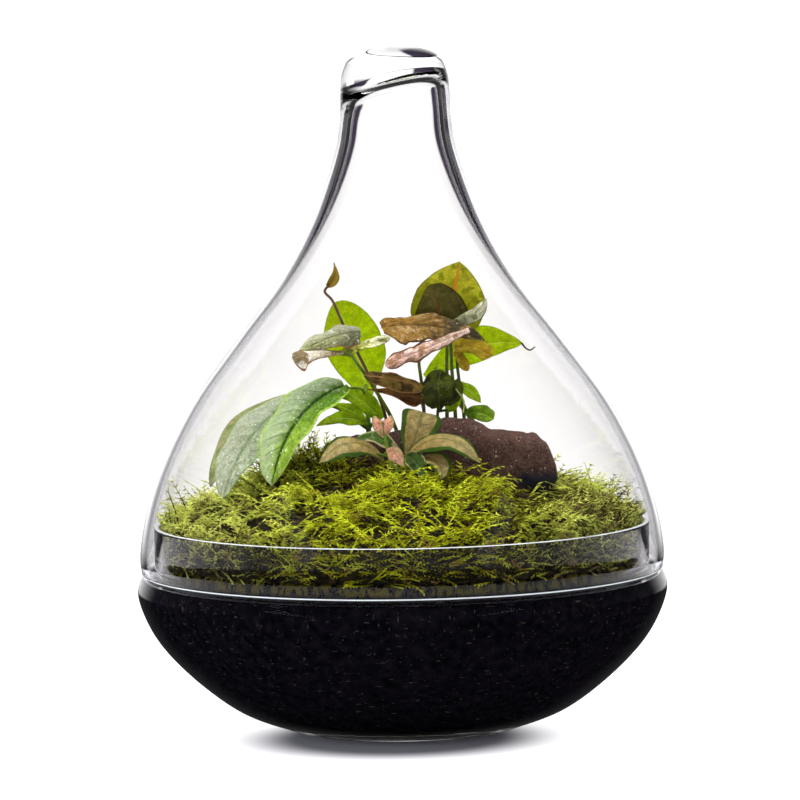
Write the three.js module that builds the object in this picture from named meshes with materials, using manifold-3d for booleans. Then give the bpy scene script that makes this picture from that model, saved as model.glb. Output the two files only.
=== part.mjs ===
// A planted glass terrarium: a round bowl of dark soil and moss, closed by a tall drop-shaped glass dome.
// Inside stand an arrowhead plant, two leafy coffee stems, a variegated wax plant and a long stone.
// Units are millimetres, +Z is up, the origin is the middle of the foot on the table, the front is -Y.

import * as THREE from 'three';
import { mergeVertices } from 'three/addons/utils/BufferGeometryUtils.js';
import Module from 'manifold-3d';

const wasm = await Module();
wasm.setup();

// Driving dimensions

const GAP = 0.3;                 // clearance left between pieces that touch
const FOOT_RADIUS = 54;          // flat ring that the bowl stands on
const FOOT_RECESS_RADIUS = 46;   // shallow hollow inside the foot ring
const FOOT_RECESS_DEPTH = 1.6;
const FOOT_RECESS_SLOPE = 5;     // width of the ring's inner slope
const BOWL_RADIUS = 125.5;       // widest part of the bowl
const BOWL_WIDEST_Z = 66;
const BOWL_WALL = 3;
const BOWL_FLOOR = 7;            // glass thickness over the foot
const BOWL_FLOOR_RADIUS = 50;
const SEAT_Z = 74.6;             // flat shoulder on which the dome's edge rests
const SEAT_RADIUS = 122;
const COLLAR_RADIUS = 117.1;     // upright collar inside the dome
const COLLAR_TOP_Z = 97.7;
const COLLAR_WALL = 2.6;
const COLLAR_FILLET = 2;         // rounding between the shoulder and the collar, inside and out

const DOME_RIM_RADIUS = 123.3;
const DOME_RIM_EASE = 0.6;       // eased corner of the dome's lower edge
const DOME_HEIGHT_Z = 322;       // top of the dome over the table
const DOME_WALL = 2.7;           // wall of the wide part
const NECK_WALL = 5.4;           // the wall grows thicker up the neck
const NECK_WALL_FROM_Z = 195;
const NECK_WALL_TO_Z = 280;
const CAVITY_TOP_Z = 307.5;      // middle of the slanted ceiling
const CEILING_SLANT = 0.2;       // rise of the ceiling for each millimetre to the right
const CEILING_SLANT_FROM_Z = 282;
const CEILING_SLANT_TO_Z = 301;
const NECK_CAVITY_RADIUS = 22.5;

const SOIL_EDGE_Z = 79.5;        // top of the soil at the wall
const SOIL_RISE = 24;            // how much higher the soil stands in the middle
const MOSS_EDGE_Z = 97;          // top of the moss at the wall
const MOSS_RISE = 24;
const MOSS_SHOULDER = 2.8;       // the bed stays high and falls off towards the wall
const MOSS_LUMP = 1.7;           // height of the moss cushions
const MOSS_REACH = 110;          // the shoots end this far from the axis, short of the collar
const MOSS_SHOOTS = 138;
const SHOOT_LENGTH = 12;         // larger than life, so that a few cover the bed
const SHOOT_WIDTH = 5;
const SHOOT_SPREAD = 1.2;        // how far a shoot may turn from straight outward, in radians
const SHOOT_SINK = 2.5;          // how deep a shoot's foot lies in the bed
const SHOOT_BEND = [0.4, 0.3];   // where a shoot bends, outward and up, as shares of its length
const SHOOT_END = [0.85, 0.45];  // where it ends, likewise
const SHOOT_NARROWS = 0.3;       // share of its thickness lost at the bend
const HOLE_DEPTH = 14;           // how deep a stem stands in the soil
const HOLE_CLEARANCE = 0.5;
const STEM_STRAIGHT = [1.5, 6];  // heights over the moss between which a stem stands straight up

const BLADE_THICKNESS = 0.8;
const BLADE_TIP_HALF = 0.35;     // half the width that a blade keeps at its tip
const EDGE_SHIFT = 1.4;          // how far the waves of a blade's two edges are out of step, in radians
const LOBE_CURVE = 1.6;          // lobes sweep back more than evenly towards the edge
const LOBE_FADE = 3;             // and less and less along the blade
const STALK_RADIUS = 0.8;        // stalks of the side leaves
const SECTORS = 28;              // glass, soil and moss share their sectors, so their walls stay parallel

// Materials

function material(color, roughness, metalness = 0, opacity = 1) {
  const transparent = opacity < 1;
  return new THREE.MeshStandardMaterial({ color, roughness, metalness, opacity, transparent });
}

const MATERIALS = {
  glass: material(0xe9eef0, 0.04, 0, 0.35),
  soil: material(0x17151c, 0.95),
  moss: material(0x86961a, 0.9),
  stone: material(0x553d3f, 0.9),
  olive: material(0x87861f, 0.45),
  bronze: material(0x6b5238, 0.45),
  tan: material(0xa58a45, 0.5),
  green: material(0x4d7f2e, 0.35),
  cream: material(0xcdbd86, 0.45),
  pink: material(0xd3a08a, 0.45),
};

// Solids and booleans

function toManifold(geometry) {
  const bare = geometry.clone();
  bare.deleteAttribute('normal');
  bare.deleteAttribute('uv');
  const merged = mergeVertices(bare, 1e-4);
  return new wasm.Manifold(new wasm.Mesh({
    numProp: 3,
    vertProperties: new Float32Array(merged.getAttribute('position').array),
    triVerts: new Uint32Array(merged.getIndex().array),
  }));
}

function toGeometry(solid) {
  const mesh = solid.getMesh();
  const geometry = new THREE.BufferGeometry();
  geometry.setAttribute('position', new THREE.BufferAttribute(new Float32Array(mesh.vertProperties), 3));
  geometry.setIndex(new THREE.BufferAttribute(new Uint32Array(mesh.triVerts), 1));
  geometry.computeVertexNormals();
  return geometry;
}

function fuse(solids) {
  return solids.reduce((whole, solid) => whole.add(solid));
}

// A solid from the points and triangles of its closed skin, which is turned outward where it faces inward.
function solidFromTriangles(points, triangles) {
  const position = new Float32Array(points.flatMap((p) => [p.x, p.y, p.z]));
  let volume = 0;
  for (const [a, b, c] of triangles) {
    volume += points[a].dot(new THREE.Vector3().crossVectors(points[b], points[c]));
  }
  const outward = volume < 0 ? triangles.map(([a, b, c]) => [a, c, b]) : triangles;
  return new wasm.Manifold(new wasm.Mesh({
    numProp: 3,
    vertProperties: position,
    triVerts: new Uint32Array(outward.flat()),
  }));
}

// Turned about Z. The profile lists [radius, z] and meets the axis at both ends or closes on itself.
// A warp, where given, moves each point a little off the round.
function turnedSolid(profile, segments, warp = null) {
  const geometry = new THREE.LatheGeometry(profile.map(([r, z]) => new THREE.Vector2(r, z)), segments);
  geometry.rotateX(Math.PI / 2);
  geometry.deleteAttribute('normal');
  geometry.deleteAttribute('uv');
  const merged = mergeVertices(geometry, 1e-4);
  const position = merged.getAttribute('position');
  const points = Array.from({ length: position.count }, (_, i) => (
    new THREE.Vector3().fromBufferAttribute(position, i)));
  if (warp) points.forEach(warp);
  const index = merged.getIndex().array;
  const triangles = [];
  for (let i = 0; i < index.length; i += 3) {
    const [a, b, c] = [index[i], index[i + 1], index[i + 2]];
    if (a !== b && b !== c && a !== c) triangles.push([a, b, c]);
  }
  return solidFromTriangles(points, triangles);
}

// Profiles

function smoothstep(from, to, value) {
  const t = THREE.MathUtils.clamp((value - from) / (to - from), 0, 1);
  return t * t * (3 - 2 * t);
}

// A smooth curve through a few [radius, z] stations, with the stations themselves among its points.
function smoothProfile(stations, piecesBetween) {
  const curve = new THREE.CatmullRomCurve3(
    stations.map(([r, z]) => new THREE.Vector3(r, 0, z)), false, 'centripetal');
  return curve.getPoints((stations.length - 1) * piecesBetween).map((p) => [p.x, p.z]);
}

// The same profile moved inward by a wall thickness that may change with height.
function insetProfile(profile, wallAt) {
  return profile.map(([r, z], i) => {
    const before = profile[Math.max(i - 1, 0)];
    const after = profile[Math.min(i + 1, profile.length - 1)];
    const along = new THREE.Vector2(after[0] - before[0], after[1] - before[1]).normalize();
    const wall = wallAt(z);
    return [r - along.y * wall, z + along.x * wall];
  });
}

const BOWL_SIDE = smoothProfile([
  [FOOT_RADIUS, 0], [80, 10.5], [107, 32.5], [119.6, 49], [BOWL_RADIUS, BOWL_WIDEST_Z], [123.6, 72.4],
], 2);

function bowlInside(wall) {
  return insetProfile(BOWL_SIDE, () => wall).filter(([, z]) => z > BOWL_FLOOR + 1);
}

function bowlProfile() {
  const collarInside = COLLAR_RADIUS - COLLAR_WALL;
  return [
    [0, FOOT_RECESS_DEPTH],
    [FOOT_RECESS_RADIUS - FOOT_RECESS_SLOPE, FOOT_RECESS_DEPTH],
    [FOOT_RECESS_RADIUS, 0],
    ...BOWL_SIDE,
    [SEAT_RADIUS, SEAT_Z],
    [COLLAR_RADIUS + 0.8 * COLLAR_FILLET, SEAT_Z],
    [COLLAR_RADIUS, SEAT_Z + COLLAR_FILLET],
    [COLLAR_RADIUS, COLLAR_TOP_Z - COLLAR_WALL / 2],
    [COLLAR_RADIUS - COLLAR_WALL / 2, COLLAR_TOP_Z],
    [collarInside, COLLAR_TOP_Z - COLLAR_WALL / 2],
    [collarInside, SEAT_Z + 0.75 * COLLAR_FILLET],
    [collarInside + 1.2 * COLLAR_FILLET, SEAT_Z - 0.8 * COLLAR_FILLET],
    ...bowlInside(BOWL_WALL).reverse(),
    [BOWL_FLOOR_RADIUS, BOWL_FLOOR],
    [0, BOWL_FLOOR],
  ];
}

const DOME_SIDE = smoothProfile([
  [DOME_RIM_RADIUS, SEAT_Z + GAP + DOME_RIM_EASE], [124, 82], [121.4, 100], [113.5, 125], [97.7, 156],
  [75.9, 186], [56.2, 212], [42.3, 236], [33.4, 258], [27.6, 278], [26, 292],
], 2);

const DOME_CAP = [[25.8, 301], [24.7, 310], [21, 317.3], [13, 321.1], [0, DOME_HEIGHT_Z]];

function domeWall(z) {
  return THREE.MathUtils.lerp(DOME_WALL, NECK_WALL, smoothstep(NECK_WALL_FROM_Z, NECK_WALL_TO_Z, z));
}

function domeInside() {
  const side = insetProfile(DOME_SIDE, domeWall);
  const cap = [[18.8, 301.5], [15.6, 305], [9, CAVITY_TOP_Z - 0.6], [0, CAVITY_TOP_Z]];
  return [...side, ...cap];
}

// The cavity's ceiling rises to the right. Only points of the cavity's own top are lifted.
function slantCeiling(point) {
  const lift = smoothstep(CEILING_SLANT_FROM_Z, CEILING_SLANT_TO_Z, point.z);
  const inside = point.z < CAVITY_TOP_Z + GAP && Math.hypot(point.x, point.y) < NECK_CAVITY_RADIUS;
  if (inside) point.z += CEILING_SLANT * point.x * lift;
}

function domeProfile() {
  const rimZ = SEAT_Z + GAP;
  const inner = domeInside();
  const [innerRadius] = inner[0];
  const bottom = [
    [innerRadius, rimZ + DOME_RIM_EASE],
    [innerRadius + DOME_RIM_EASE, rimZ],
    [DOME_RIM_RADIUS - DOME_RIM_EASE, rimZ],
  ];
  return [...inner.slice(1).reverse(), ...bottom, ...DOME_SIDE, ...DOME_CAP];
}

// Soil and moss

const BED_WALL = COLLAR_RADIUS - COLLAR_WALL - GAP;

// The soil's top and the moss's underside bend at the same rings, so they stay parallel.
const BED_RINGS = [BED_WALL, 75, 35];

function soilTop(r) {
  return SOIL_EDGE_Z + SOIL_RISE * (1 - (r / COLLAR_RADIUS) ** 2);
}

// The moss is a mound with cushions, which fade out towards the wall.
function mossTop(x, y) {
  const r = Math.hypot(x, y);
  const mound = MOSS_EDGE_Z + MOSS_RISE * (1 - (r / COLLAR_RADIUS) ** MOSS_SHOULDER);
  const lumps = Math.sin(x * 0.19 + 1.3) * Math.cos(y * 0.17 - 0.4) + 0.6 * Math.sin(x * 0.33 - y * 0.29);
  return mound + MOSS_LUMP * lumps * smoothstep(COLLAR_RADIUS, COLLAR_RADIUS - 14, r);
}

function soilSolid() {
  return turnedSolid([
    [0, BOWL_FLOOR + GAP],
    [BOWL_FLOOR_RADIUS, BOWL_FLOOR + GAP],
    ...bowlInside(BOWL_WALL + GAP),
    [BED_WALL + 1.1 * COLLAR_FILLET, SEAT_Z - 0.9 * COLLAR_FILLET],
    [BED_WALL, SEAT_Z + 0.5 * COLLAR_FILLET],
    ...[...BED_RINGS, 0].map((r) => [r, soilTop(r)]),
  ], SECTORS);
}

const MOSS_RINGS = [16, 34, 50, 64, 77, 89, 100, 108];

function mossBed() {
  const radii = [...MOSS_RINGS, BED_WALL];
  const points = [new THREE.Vector3(0, 0, mossTop(0, 0))];
  const triangles = [];
  const ringStart = [];
  const addRing = (radius, heightAt) => {
    ringStart.push(points.length);
    for (let k = 0; k < SECTORS; k += 1) {
      const angle = (2 * Math.PI * k) / SECTORS;
      const [x, y] = [radius * Math.cos(angle), radius * Math.sin(angle)];
      points.push(new THREE.Vector3(x, y, heightAt(x, y)));
    }
  };
  radii.forEach((radius) => addRing(radius, mossTop));
  const underside = (x, y) => soilTop(Math.hypot(x, y)) + GAP;
  BED_RINGS.forEach((radius) => addRing(radius, underside));
  points.push(new THREE.Vector3(0, 0, underside(0, 0)));
  const last = points.length - 1;
  for (let k = 0; k < SECTORS; k += 1) {
    const next = (k + 1) % SECTORS;
    triangles.push([0, ringStart[0] + k, ringStart[0] + next]);
    for (let ring = 0; ring + 1 < ringStart.length; ring += 1) {
      const [a, b] = [ringStart[ring] + k, ringStart[ring] + next];
      const [c, d] = [ringStart[ring + 1] + k, ringStart[ring + 1] + next];
      triangles.push([a, c, b], [b, c, d]);
    }
    const end = ringStart[ringStart.length - 1];
    triangles.push([end + k, last, end + next]);
  }
  return solidFromTriangles(points, triangles);
}

// Seeded draw, so that the moss comes out the same each time.
function seededDraw(seed) {
  let state = seed;
  return () => {
    state = (state * 1664525 + 1013904223) % 4294967296;
    return state / 4294967296;
  };
}

// A three-sided shoot that rises from its root and then leans outward to its tip.
function shoot(root, lean, length, width) {
  const side = new THREE.Vector3(-lean.y, lean.x, 0);
  const foot = [0, 1, 2].map((k) => {
    const angle = (2 * Math.PI * k) / 3;
    return root.clone()
      .addScaledVector(lean, (width / 2) * Math.cos(angle))
      .addScaledVector(side, (width / 2) * Math.sin(angle));
  });
  const moved = (p, [outward, up]) => p.clone()
    .addScaledVector(lean, length * outward)
    .add(new THREE.Vector3(0, 0, length * up));
  const middle = foot.map((p) => moved(p, SHOOT_BEND).lerp(moved(root, SHOOT_BEND), SHOOT_NARROWS));
  const tip = moved(root, SHOOT_END);
  const points = [...foot, ...middle, tip];
  const triangles = [[0, 2, 1]];
  for (let k = 0; k < 3; k += 1) {
    const next = (k + 1) % 3;
    triangles.push([k, next, 3 + k], [next, 3 + next, 3 + k], [3 + k, 3 + next, 6]);
  }
  return solidFromTriangles(points, triangles);
}

// Shoots stand clear of the stone and of the low leaves.
const SHOOT_FREE = [
  { x: 20, y: -12, reach: 30 }, { x: 52, y: -10, reach: 30 }, { x: -18, y: -8, reach: 24 },
  { x: -58, y: -42, reach: 16 }, { x: -82, y: -38, reach: 14 }, { x: 16, y: -40, reach: 16 },
  { x: 0, y: 14, reach: 18 }, { x: 28, y: 14, reach: 16 }, { x: -32, y: -32, reach: 15 },
];

function mossSolid() {
  const draw = seededDraw(7);
  const golden = Math.PI * (3 - Math.sqrt(5));
  const shoots = [];
  for (let k = 0; k < MOSS_SHOOTS; k += 1) {
    const r = (MOSS_REACH - SHOOT_SINK) * Math.sqrt((k + 0.5) / MOSS_SHOOTS);
    const angle = k * golden + 0.6 * draw();
    const [x, y] = [r * Math.cos(angle), r * Math.sin(angle)];
    const turn = angle + (2 * draw() - 1) * SHOOT_SPREAD;
    const length = SHOOT_LENGTH * (0.75 + 0.5 * draw());
    const free = SHOOT_FREE.every((spot) => Math.hypot(x - spot.x, y - spot.y) > spot.reach);
    const reach = Math.hypot(x + length * Math.cos(turn), y + length * Math.sin(turn));
    if (free && reach < MOSS_REACH) {
      const root = new THREE.Vector3(x, y, mossTop(x, y) - SHOOT_SINK);
      shoots.push(shoot(root, new THREE.Vector3(Math.cos(turn), Math.sin(turn), 0), length, SHOOT_WIDTH));
    }
  }
  return mossBed().add(wasm.Manifold.union(shoots));
}

// The largest of the bodies that a cut leaves, without its loose scraps.
function largestBody(solid) {
  return solid.decompose().reduce((best, body) => (body.volume() > best.volume() ? body : best));
}

// Leaves

// Read a shape, whose rows hold a place along the blade and the left and right half width there.
function halfWidthAt(shape, s, side) {
  const next = Math.max(shape.findIndex((row) => row[0] >= s), 1);
  const [before, after] = [shape[next - 1], shape[next]];
  return THREE.MathUtils.mapLinear(s, before[0], after[0], before[side], after[side]);
}

// Half width along the blade, left for a negative v, as a share of the widest.
// A lopsided blade follows its shape. Any other rises from the base to the peak and closes in a tip.
function bladeOutline(leaf, s, v) {
  if (leaf.shape) return halfWidthAt(leaf.shape, s, v < 0 ? 1 : 2);
  if (s < leaf.peak) return THREE.MathUtils.lerp(leaf.start, 1, Math.sin((Math.PI / 2) * (s / leaf.peak)));
  return Math.cos((Math.PI / 2) * ((s - leaf.peak) / (1 - leaf.peak))) ** leaf.taper;
}

// One point of a blade: s runs from base to tip along the midrib, v from edge to edge.
// The halves fold up from the midrib, the edges wave, and lobes sweep back beside the stalk.
function bladePoint(leaf, s, v) {
  const base = new THREE.Vector3(...leaf.base);
  const tip = new THREE.Vector3(...leaf.tip);
  const ends = base.clone().add(tip);
  const bend = new THREE.Vector3(...leaf.via).multiplyScalar(2).addScaledVector(ends, -0.5);
  const rib = new THREE.QuadraticBezierCurve3(base, bend, tip);
  const along = rib.getTangent(s);
  const side = new THREE.Vector3().crossVectors(along, new THREE.Vector3(...leaf.faces)).normalize();
  const up = new THREE.Vector3().crossVectors(side, along);
  const half = Math.max((leaf.width / 2) * bladeOutline(leaf, s, v), BLADE_TIP_HALF);
  const wave = leaf.wave * Math.sin(2 * Math.PI * leaf.waves * s + (v > 0 ? EDGE_SHIFT : 0)) * v * v;
  const height = half * (leaf.fold * Math.abs(v) - leaf.droop * v * v) + wave * Math.sin(Math.PI * s);
  const sweep = -leaf.lobe * base.distanceTo(tip) * Math.abs(v) ** LOBE_CURVE * (1 - s) ** LOBE_FADE;
  return rib.getPoint(s)
    .addScaledVector(side, half * v)
    .addScaledVector(up, height)
    .addScaledVector(rib.getTangent(0), sweep);
}

// What a blade has unless its own entry says otherwise. Hold is where along the rib its stalk joins it.
const BLADE_DEFAULTS = {
  faces: [0, -1, 0.3], peak: 0.4, start: 0.06, taper: 0.8, fold: 0.25, droop: 0.1, wave: 0.6, waves: 2,
  lobe: 0, rows: 6, columns: 4, hold: 0.12,
};

// A blade of even thickness. Its top and bottom are split alike, so a waved blade never crosses itself.
function bladeSolid(leaf) {
  const { rows, columns } = leaf;
  const at = (row, column) => bladePoint(leaf, row / rows, -1 + (2 * column) / columns);
  const step = 0.01;
  const normalAt = (row, column) => {
    const [s, v] = [Math.min(row / rows, 1 - 2 * step), Math.min(-1 + (2 * column) / columns, 1 - step)];
    const here = bladePoint(leaf, s, v);
    const along = bladePoint(leaf, s + step, v).sub(here);
    const across = bladePoint(leaf, s, v + step).sub(here);
    return new THREE.Vector3().crossVectors(across, along).normalize();
  };
  const top = [];
  const bottom = [];
  for (let row = 0; row <= rows; row += 1) {
    for (let column = 0; column <= columns; column += 1) {
      const point = at(row, column);
      const offset = normalAt(row, column).multiplyScalar(BLADE_THICKNESS / 2);
      top.push(point.clone().add(offset));
      bottom.push(point.clone().sub(offset));
    }
  }
  const width = columns + 1;
  const count = top.length;
  const triangles = [];
  for (let row = 0; row < rows; row += 1) {
    for (let column = 0; column < columns; column += 1) {
      const a = row * width + column;
      const [b, c, d] = [a + 1, a + width, a + width + 1];
      triangles.push([a, b, c], [b, d, c]);
      triangles.push([count + a, count + c, count + b], [count + b, count + c, count + d]);
    }
  }
  const border = [];
  for (let column = 0; column < columns; column += 1) border.push(column);
  for (let row = 0; row < rows; row += 1) border.push(row * width + columns);
  for (let column = columns; column > 0; column -= 1) border.push(rows * width + column);
  for (let row = rows; row > 0; row -= 1) border.push(row * width);
  border.forEach((a, k) => {
    const b = border[(k + 1) % border.length];
    triangles.push([a, count + a, b], [b, count + a, count + b]);
  });
  return solidFromTriangles([...top, ...bottom], triangles);
}

// A stalk is a slim tube along a smooth line through a few points.
function stalkSolid(points, radius, sides = 5) {
  const path = new THREE.CatmullRomCurve3(points.map((p) => new THREE.Vector3(...p)));
  const section = new THREE.Shape(Array.from({ length: sides }, (_, k) => {
    const angle = (2 * Math.PI * k) / sides;
    return new THREE.Vector2(radius * Math.cos(angle), radius * Math.sin(angle));
  }));
  const steps = Math.max(points.length * 2 - 2, 2);
  return toManifold(new THREE.ExtrudeGeometry(section, { steps, extrudePath: path, bevelEnabled: false }));
}

// Where each stem stands in the soil, and how thick it is
const STEMS = {
  arrowhead_leaf_top: { x: 27, y: 15, radius: 1.1 },
  arrowhead_leaf_back: { x: 11, y: 18, radius: 1 },
  arrowhead_leaf_broad: { x: 22, y: 9.5, radius: 1.1 },
  arrowhead_leaf_tan: { x: 32, y: 9.5, radius: 1 },
  arrowhead_leaf_left: { x: 2, y: 10, radius: 1.1 },
  arrowhead_leaf_low: { x: 12, y: 8.5, radius: 1.1 },
  arrowhead_leaf_dark: { x: 17, y: 13, radius: 1 },
  arrowhead_leaf_new: { x: -4, y: 17, radius: 0.9 },
  coffee_stem_left: { x: -14, y: 10, radius: 1.6 },
  coffee_stem_right: { x: 38, y: 16, radius: 1.5 },
  wax_sprig: { x: 3, y: -29, radius: 1.3 },
  wax_young_shoot: { x: -2, y: -38, radius: 1.1 },
};

function stemFoot(name) {
  const { x, y } = STEMS[name];
  const z = soilTop(Math.hypot(x, y)) - HOLE_DEPTH + GAP;
  return [x, y, z];
}

function stemHole(name) {
  const { x, y, radius } = STEMS[name];
  const bottom = soilTop(Math.hypot(x, y)) - HOLE_DEPTH;
  const top = mossTop(x, y) + SHOOT_LENGTH;
  const holeRadius = radius + HOLE_CLEARANCE;
  const geometry = new THREE.CylinderGeometry(holeRadius, holeRadius, top - bottom, 8);
  geometry.rotateX(Math.PI / 2);
  geometry.translate(x, y, (top + bottom) / 2);
  return toManifold(geometry);
}

// A stem leaves the moss straight up, kept straight by three points, and then follows the points given.
function stemUp(name, through) {
  const [x, y, z] = stemFoot(name);
  const straight = STEM_STRAIGHT.map((over) => [x, y, mossTop(x, y) + over]);
  return stalkSolid([[x, y, z], ...straight, ...through], STEMS[name].radius);
}

// Each plant has the points of its main stem above the moss and its blades. The stem runs into the first
// blade, and each other blade hangs on a stalk that leaves the stem at one of its points.
const PLANTS = {
  arrowhead_leaf_top: {
    finish: 'olive',
    stem: [[26, 11.5, 155], [25, 8, 168], [24.5, 9.5, 184]],
    blades: [
      {
        base: [22.5, 8, 188], via: [26, 5.5, 203.5], tip: [29.5, 8, 220.5], width: 37,
        faces: [-0.12, -1, 0.1], fold: 0.1, droop: -0.1, wave: 0.8, columns: 6,
        shape: [
          [0, 0.85, 0.5], [0.17, 0.98, 0.8], [0.34, 0.98, 0.9], [0.5, 0.93, 0.88], [0.66, 0.77, 0.71],
          [0.8, 0.56, 0.49], [0.92, 0.27, 0.24], [1, 0, 0],
        ],
      },
    ],
  },
  arrowhead_leaf_back: {
    finish: 'olive',
    stem: [[11.5, 12, 148], [10.5, 1, 162], [9.5, -2, 175], [13, 0, 185]],
    blades: [
      {
        base: [18.5, 1, 187], via: [18.5, -1, 198], tip: [14, -0.5, 209], width: 29,
        faces: [-0.1, -1, 0.15], wave: 0.4, fold: 0.05, droop: 0, hold: 0.05,
        shape: [
          [0, 0.75, 0.9], [0.33, 0.8, 1], [0.6, 0.66, 0.85], [0.8, 0.45, 0.62], [0.93, 0.2, 0.42],
          [1, 0, 0.1],
        ],
      },
      {
        base: [25.5, -1.5, 192], via: [35, -4.5, 195.5], tip: [41.5, -3, 202.5], width: 7,
        faces: [0.1, -0.9, 0.3], wave: 0.3, fold: -0.3, columns: 2, from: [[13, 0, 185], [20, -2.5, 189]],
        shape: [
          [0, 0.5, 0.5], [0.3, 0.8, 1], [0.6, 0.6, 1.1], [0.85, 0.4, 0.7], [1, 0, 0],
        ],
      },
    ],
  },
  arrowhead_leaf_broad: {
    finish: 'bronze',
    stem: [[22.5, 3, 160], [22.5, 0, 172], [22.5, -6, 182]],
    blades: [
      {
        base: [-8, -14, 190], via: [15.5, -9, 190], tip: [40.5, -10, 183], width: 19,
        faces: [-0.05, -0.72, 0.62], wave: 0.9, waves: 2.5, fold: 0.12, droop: 0.1, hold: 0.6,
        shape: [
          [0, 0.3, 0.4], [0.07, 0.5, 0.8], [0.17, 0.5, 1.1], [0.3, 0.6, 1.1], [0.5, 0.7, 0.85],
          [0.7, 0.66, 0.5], [0.86, 0.5, 0.25], [1, 0, 0],
        ],
      },
      {
        base: [33, -13.5, 188.5], via: [14.5, -17.5, 181], tip: [-6.5, -22, 173], width: 5.6,
        faces: [0.3, -0.85, 0.3], wave: 0.5, waves: 3, hold: 0.3, fold: -0.25, columns: 2,
        from: [[22.5, -6, 182]],
        shape: [
          [0, 0.4, 0.4], [0.2, 0.8, 0.8], [0.5, 1, 1], [0.8, 0.95, 0.9], [0.94, 0.8, 0.8], [1, 0.2, 0.2],
        ],
      },
    ],
  },
  arrowhead_leaf_tan: {
    finish: 'tan',
    stem: [[30, 7, 150], [27.5, 3.5, 171]],
    blades: [
      {
        base: [26, 2, 179.5], via: [35, 0, 179.5], tip: [44, 0, 175], width: 9, faces: [0, -0.8, 0.5],
        wave: 0.5, hold: 0.08, columns: 2,
        shape: [
          [0, 0.8, 0.8], [0.25, 0.9, 0.9], [0.5, 0.8, 1], [0.75, 0.95, 1.05], [0.9, 0.8, 0.85],
          [1, 0.15, 0.15],
        ],
      },
      {
        base: [27, 2, 177.5], via: [29.5, 0.5, 173], tip: [32.5, 0, 168], width: 5.4,
        faces: [0.2, -0.9, 0.3], wave: 0.3, hold: 0.2, rows: 5, columns: 2, from: [[27.5, 3.5, 171]],
        shape: [
          [0, 0.7, 0.7], [0.4, 1, 0.9], [0.75, 0.9, 0.9], [0.92, 0.6, 0.6], [1, 0.1, 0.1],
        ],
      },
    ],
  },
  arrowhead_leaf_left: {
    finish: 'olive',
    stem: [[-4, 4, 146], [-10, -2, 157.5], [-16, -8, 167.5], [-22, -14.5, 177]],
    blades: [
      {
        base: [-18, -14, 188], via: [-30, -17, 186.5], tip: [-46.5, -20, 179.5], width: 18,
        faces: [-0.1, -0.72, 0.62], fold: 0.1, droop: 0.2, wave: 1, waves: 2.5, hold: 0.4,
        shape: [
          [0, 0.25, 0.25], [0.12, 0.85, 0.45], [0.3, 0.9, 0.66], [0.5, 0.75, 0.62], [0.7, 0.45, 0.6],
          [0.86, 0.28, 0.45], [1, 0.05, 0.1],
        ],
      },
      {
        base: [-26, -18, 179], via: [-37.5, -21, 179], tip: [-50, -22, 178], width: 13,
        faces: [-0.1, -0.85, 0.4], fold: -0.15, wave: 0.4, hold: 0.1, rows: 7, columns: 2,
        from: [[-22, -14.5, 177]],
        shape: [
          [0, 0.12, 0.1], [0.25, 0.28, 0.22], [0.5, 0.4, 0.36], [0.7, 0.7, 0.42], [0.81, 1.15, 0.4],
          [0.92, 0.8, 0.3], [1, 0.2, 0.15],
        ],
      },
      {
        base: [-27.5, -16, 178], via: [-18.5, -12.5, 181], tip: [-4, -9, 185], width: 5.6,
        faces: [0.2, -0.7, 0.7], wave: 0.4, hold: 0.2, columns: 2, from: [[-22, -14.5, 177]],
        shape: [
          [0, 0.5, 0.5], [0.3, 0.9, 0.9], [0.6, 0.8, 0.8], [0.8, 1, 1], [0.93, 0.8, 0.8], [1, 0.1, 0.1],
        ],
      },
    ],
  },
  arrowhead_leaf_low: {
    finish: 'bronze',
    stem: [[11.5, 2, 148], [10.5, -8, 154.5]],
    blades: [
      {
        base: [11, -14, 162], via: [-2.5, -19, 166], tip: [-16.5, -20, 168], width: 10,
        faces: [0, -0.78, 0.62], fold: -0.15, droop: 0.3, wave: 0.7, hold: 0.1,
        shape: [
          [0, 0.4, 0.3], [0.15, 0.85, 0.7], [0.4, 0.95, 0.85], [0.7, 0.8, 0.9], [0.88, 0.55, 0.8],
          [1, 0.1, 0.1],
        ],
      },
      {
        base: [11, -12, 156.5], via: [1, -15, 158.5], tip: [-15, -17, 161.5], width: 9,
        faces: [0.1, -0.9, 0.1], fold: -0.2, wave: 0.4, rows: 5, columns: 2, from: [[10.5, -8, 154.5]],
        shape: [
          [0, 0.6, 0.3], [0.2, 1, 0.5], [0.45, 0.7, 0.6], [0.7, 0.25, 0.5], [0.88, 0.12, 0.2], [1, 0, 0],
        ],
      },
    ],
  },
  arrowhead_leaf_dark: {
    finish: 'green',
    stem: [[18, 4, 149]],
    blades: [
      {
        base: [19, -1, 151.5], via: [18.5, -4, 161], tip: [19.5, -3, 169], width: 17,
        faces: [0.1, -1, 0.2], fold: 0.2, wave: 0.6, hold: 0.1, rows: 6,
        shape: [
          [0, 0.5, 0.5], [0.2, 0.85, 0.8], [0.5, 0.95, 0.9], [0.75, 0.75, 0.8], [0.92, 0.4, 0.45],
          [1, 0, 0],
        ],
      },
      {
        base: [22, 0, 153.5], via: [25.5, -1, 158.5], tip: [27.5, 0, 164.5], width: 9,
        faces: [0.1, -0.9, 0.3], wave: 0.5, rows: 5, columns: 2, from: [[18, 4, 149]],
        shape: [
          [0, 0.6, 0.6], [0.5, 0.8, 1], [0.8, 0.5, 0.7], [1, 0, 0],
        ],
      },
      {
        base: [22, 3, 148.5], via: [25.5, 1, 152.5], tip: [29.5, 1, 155], width: 5.5,
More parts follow.
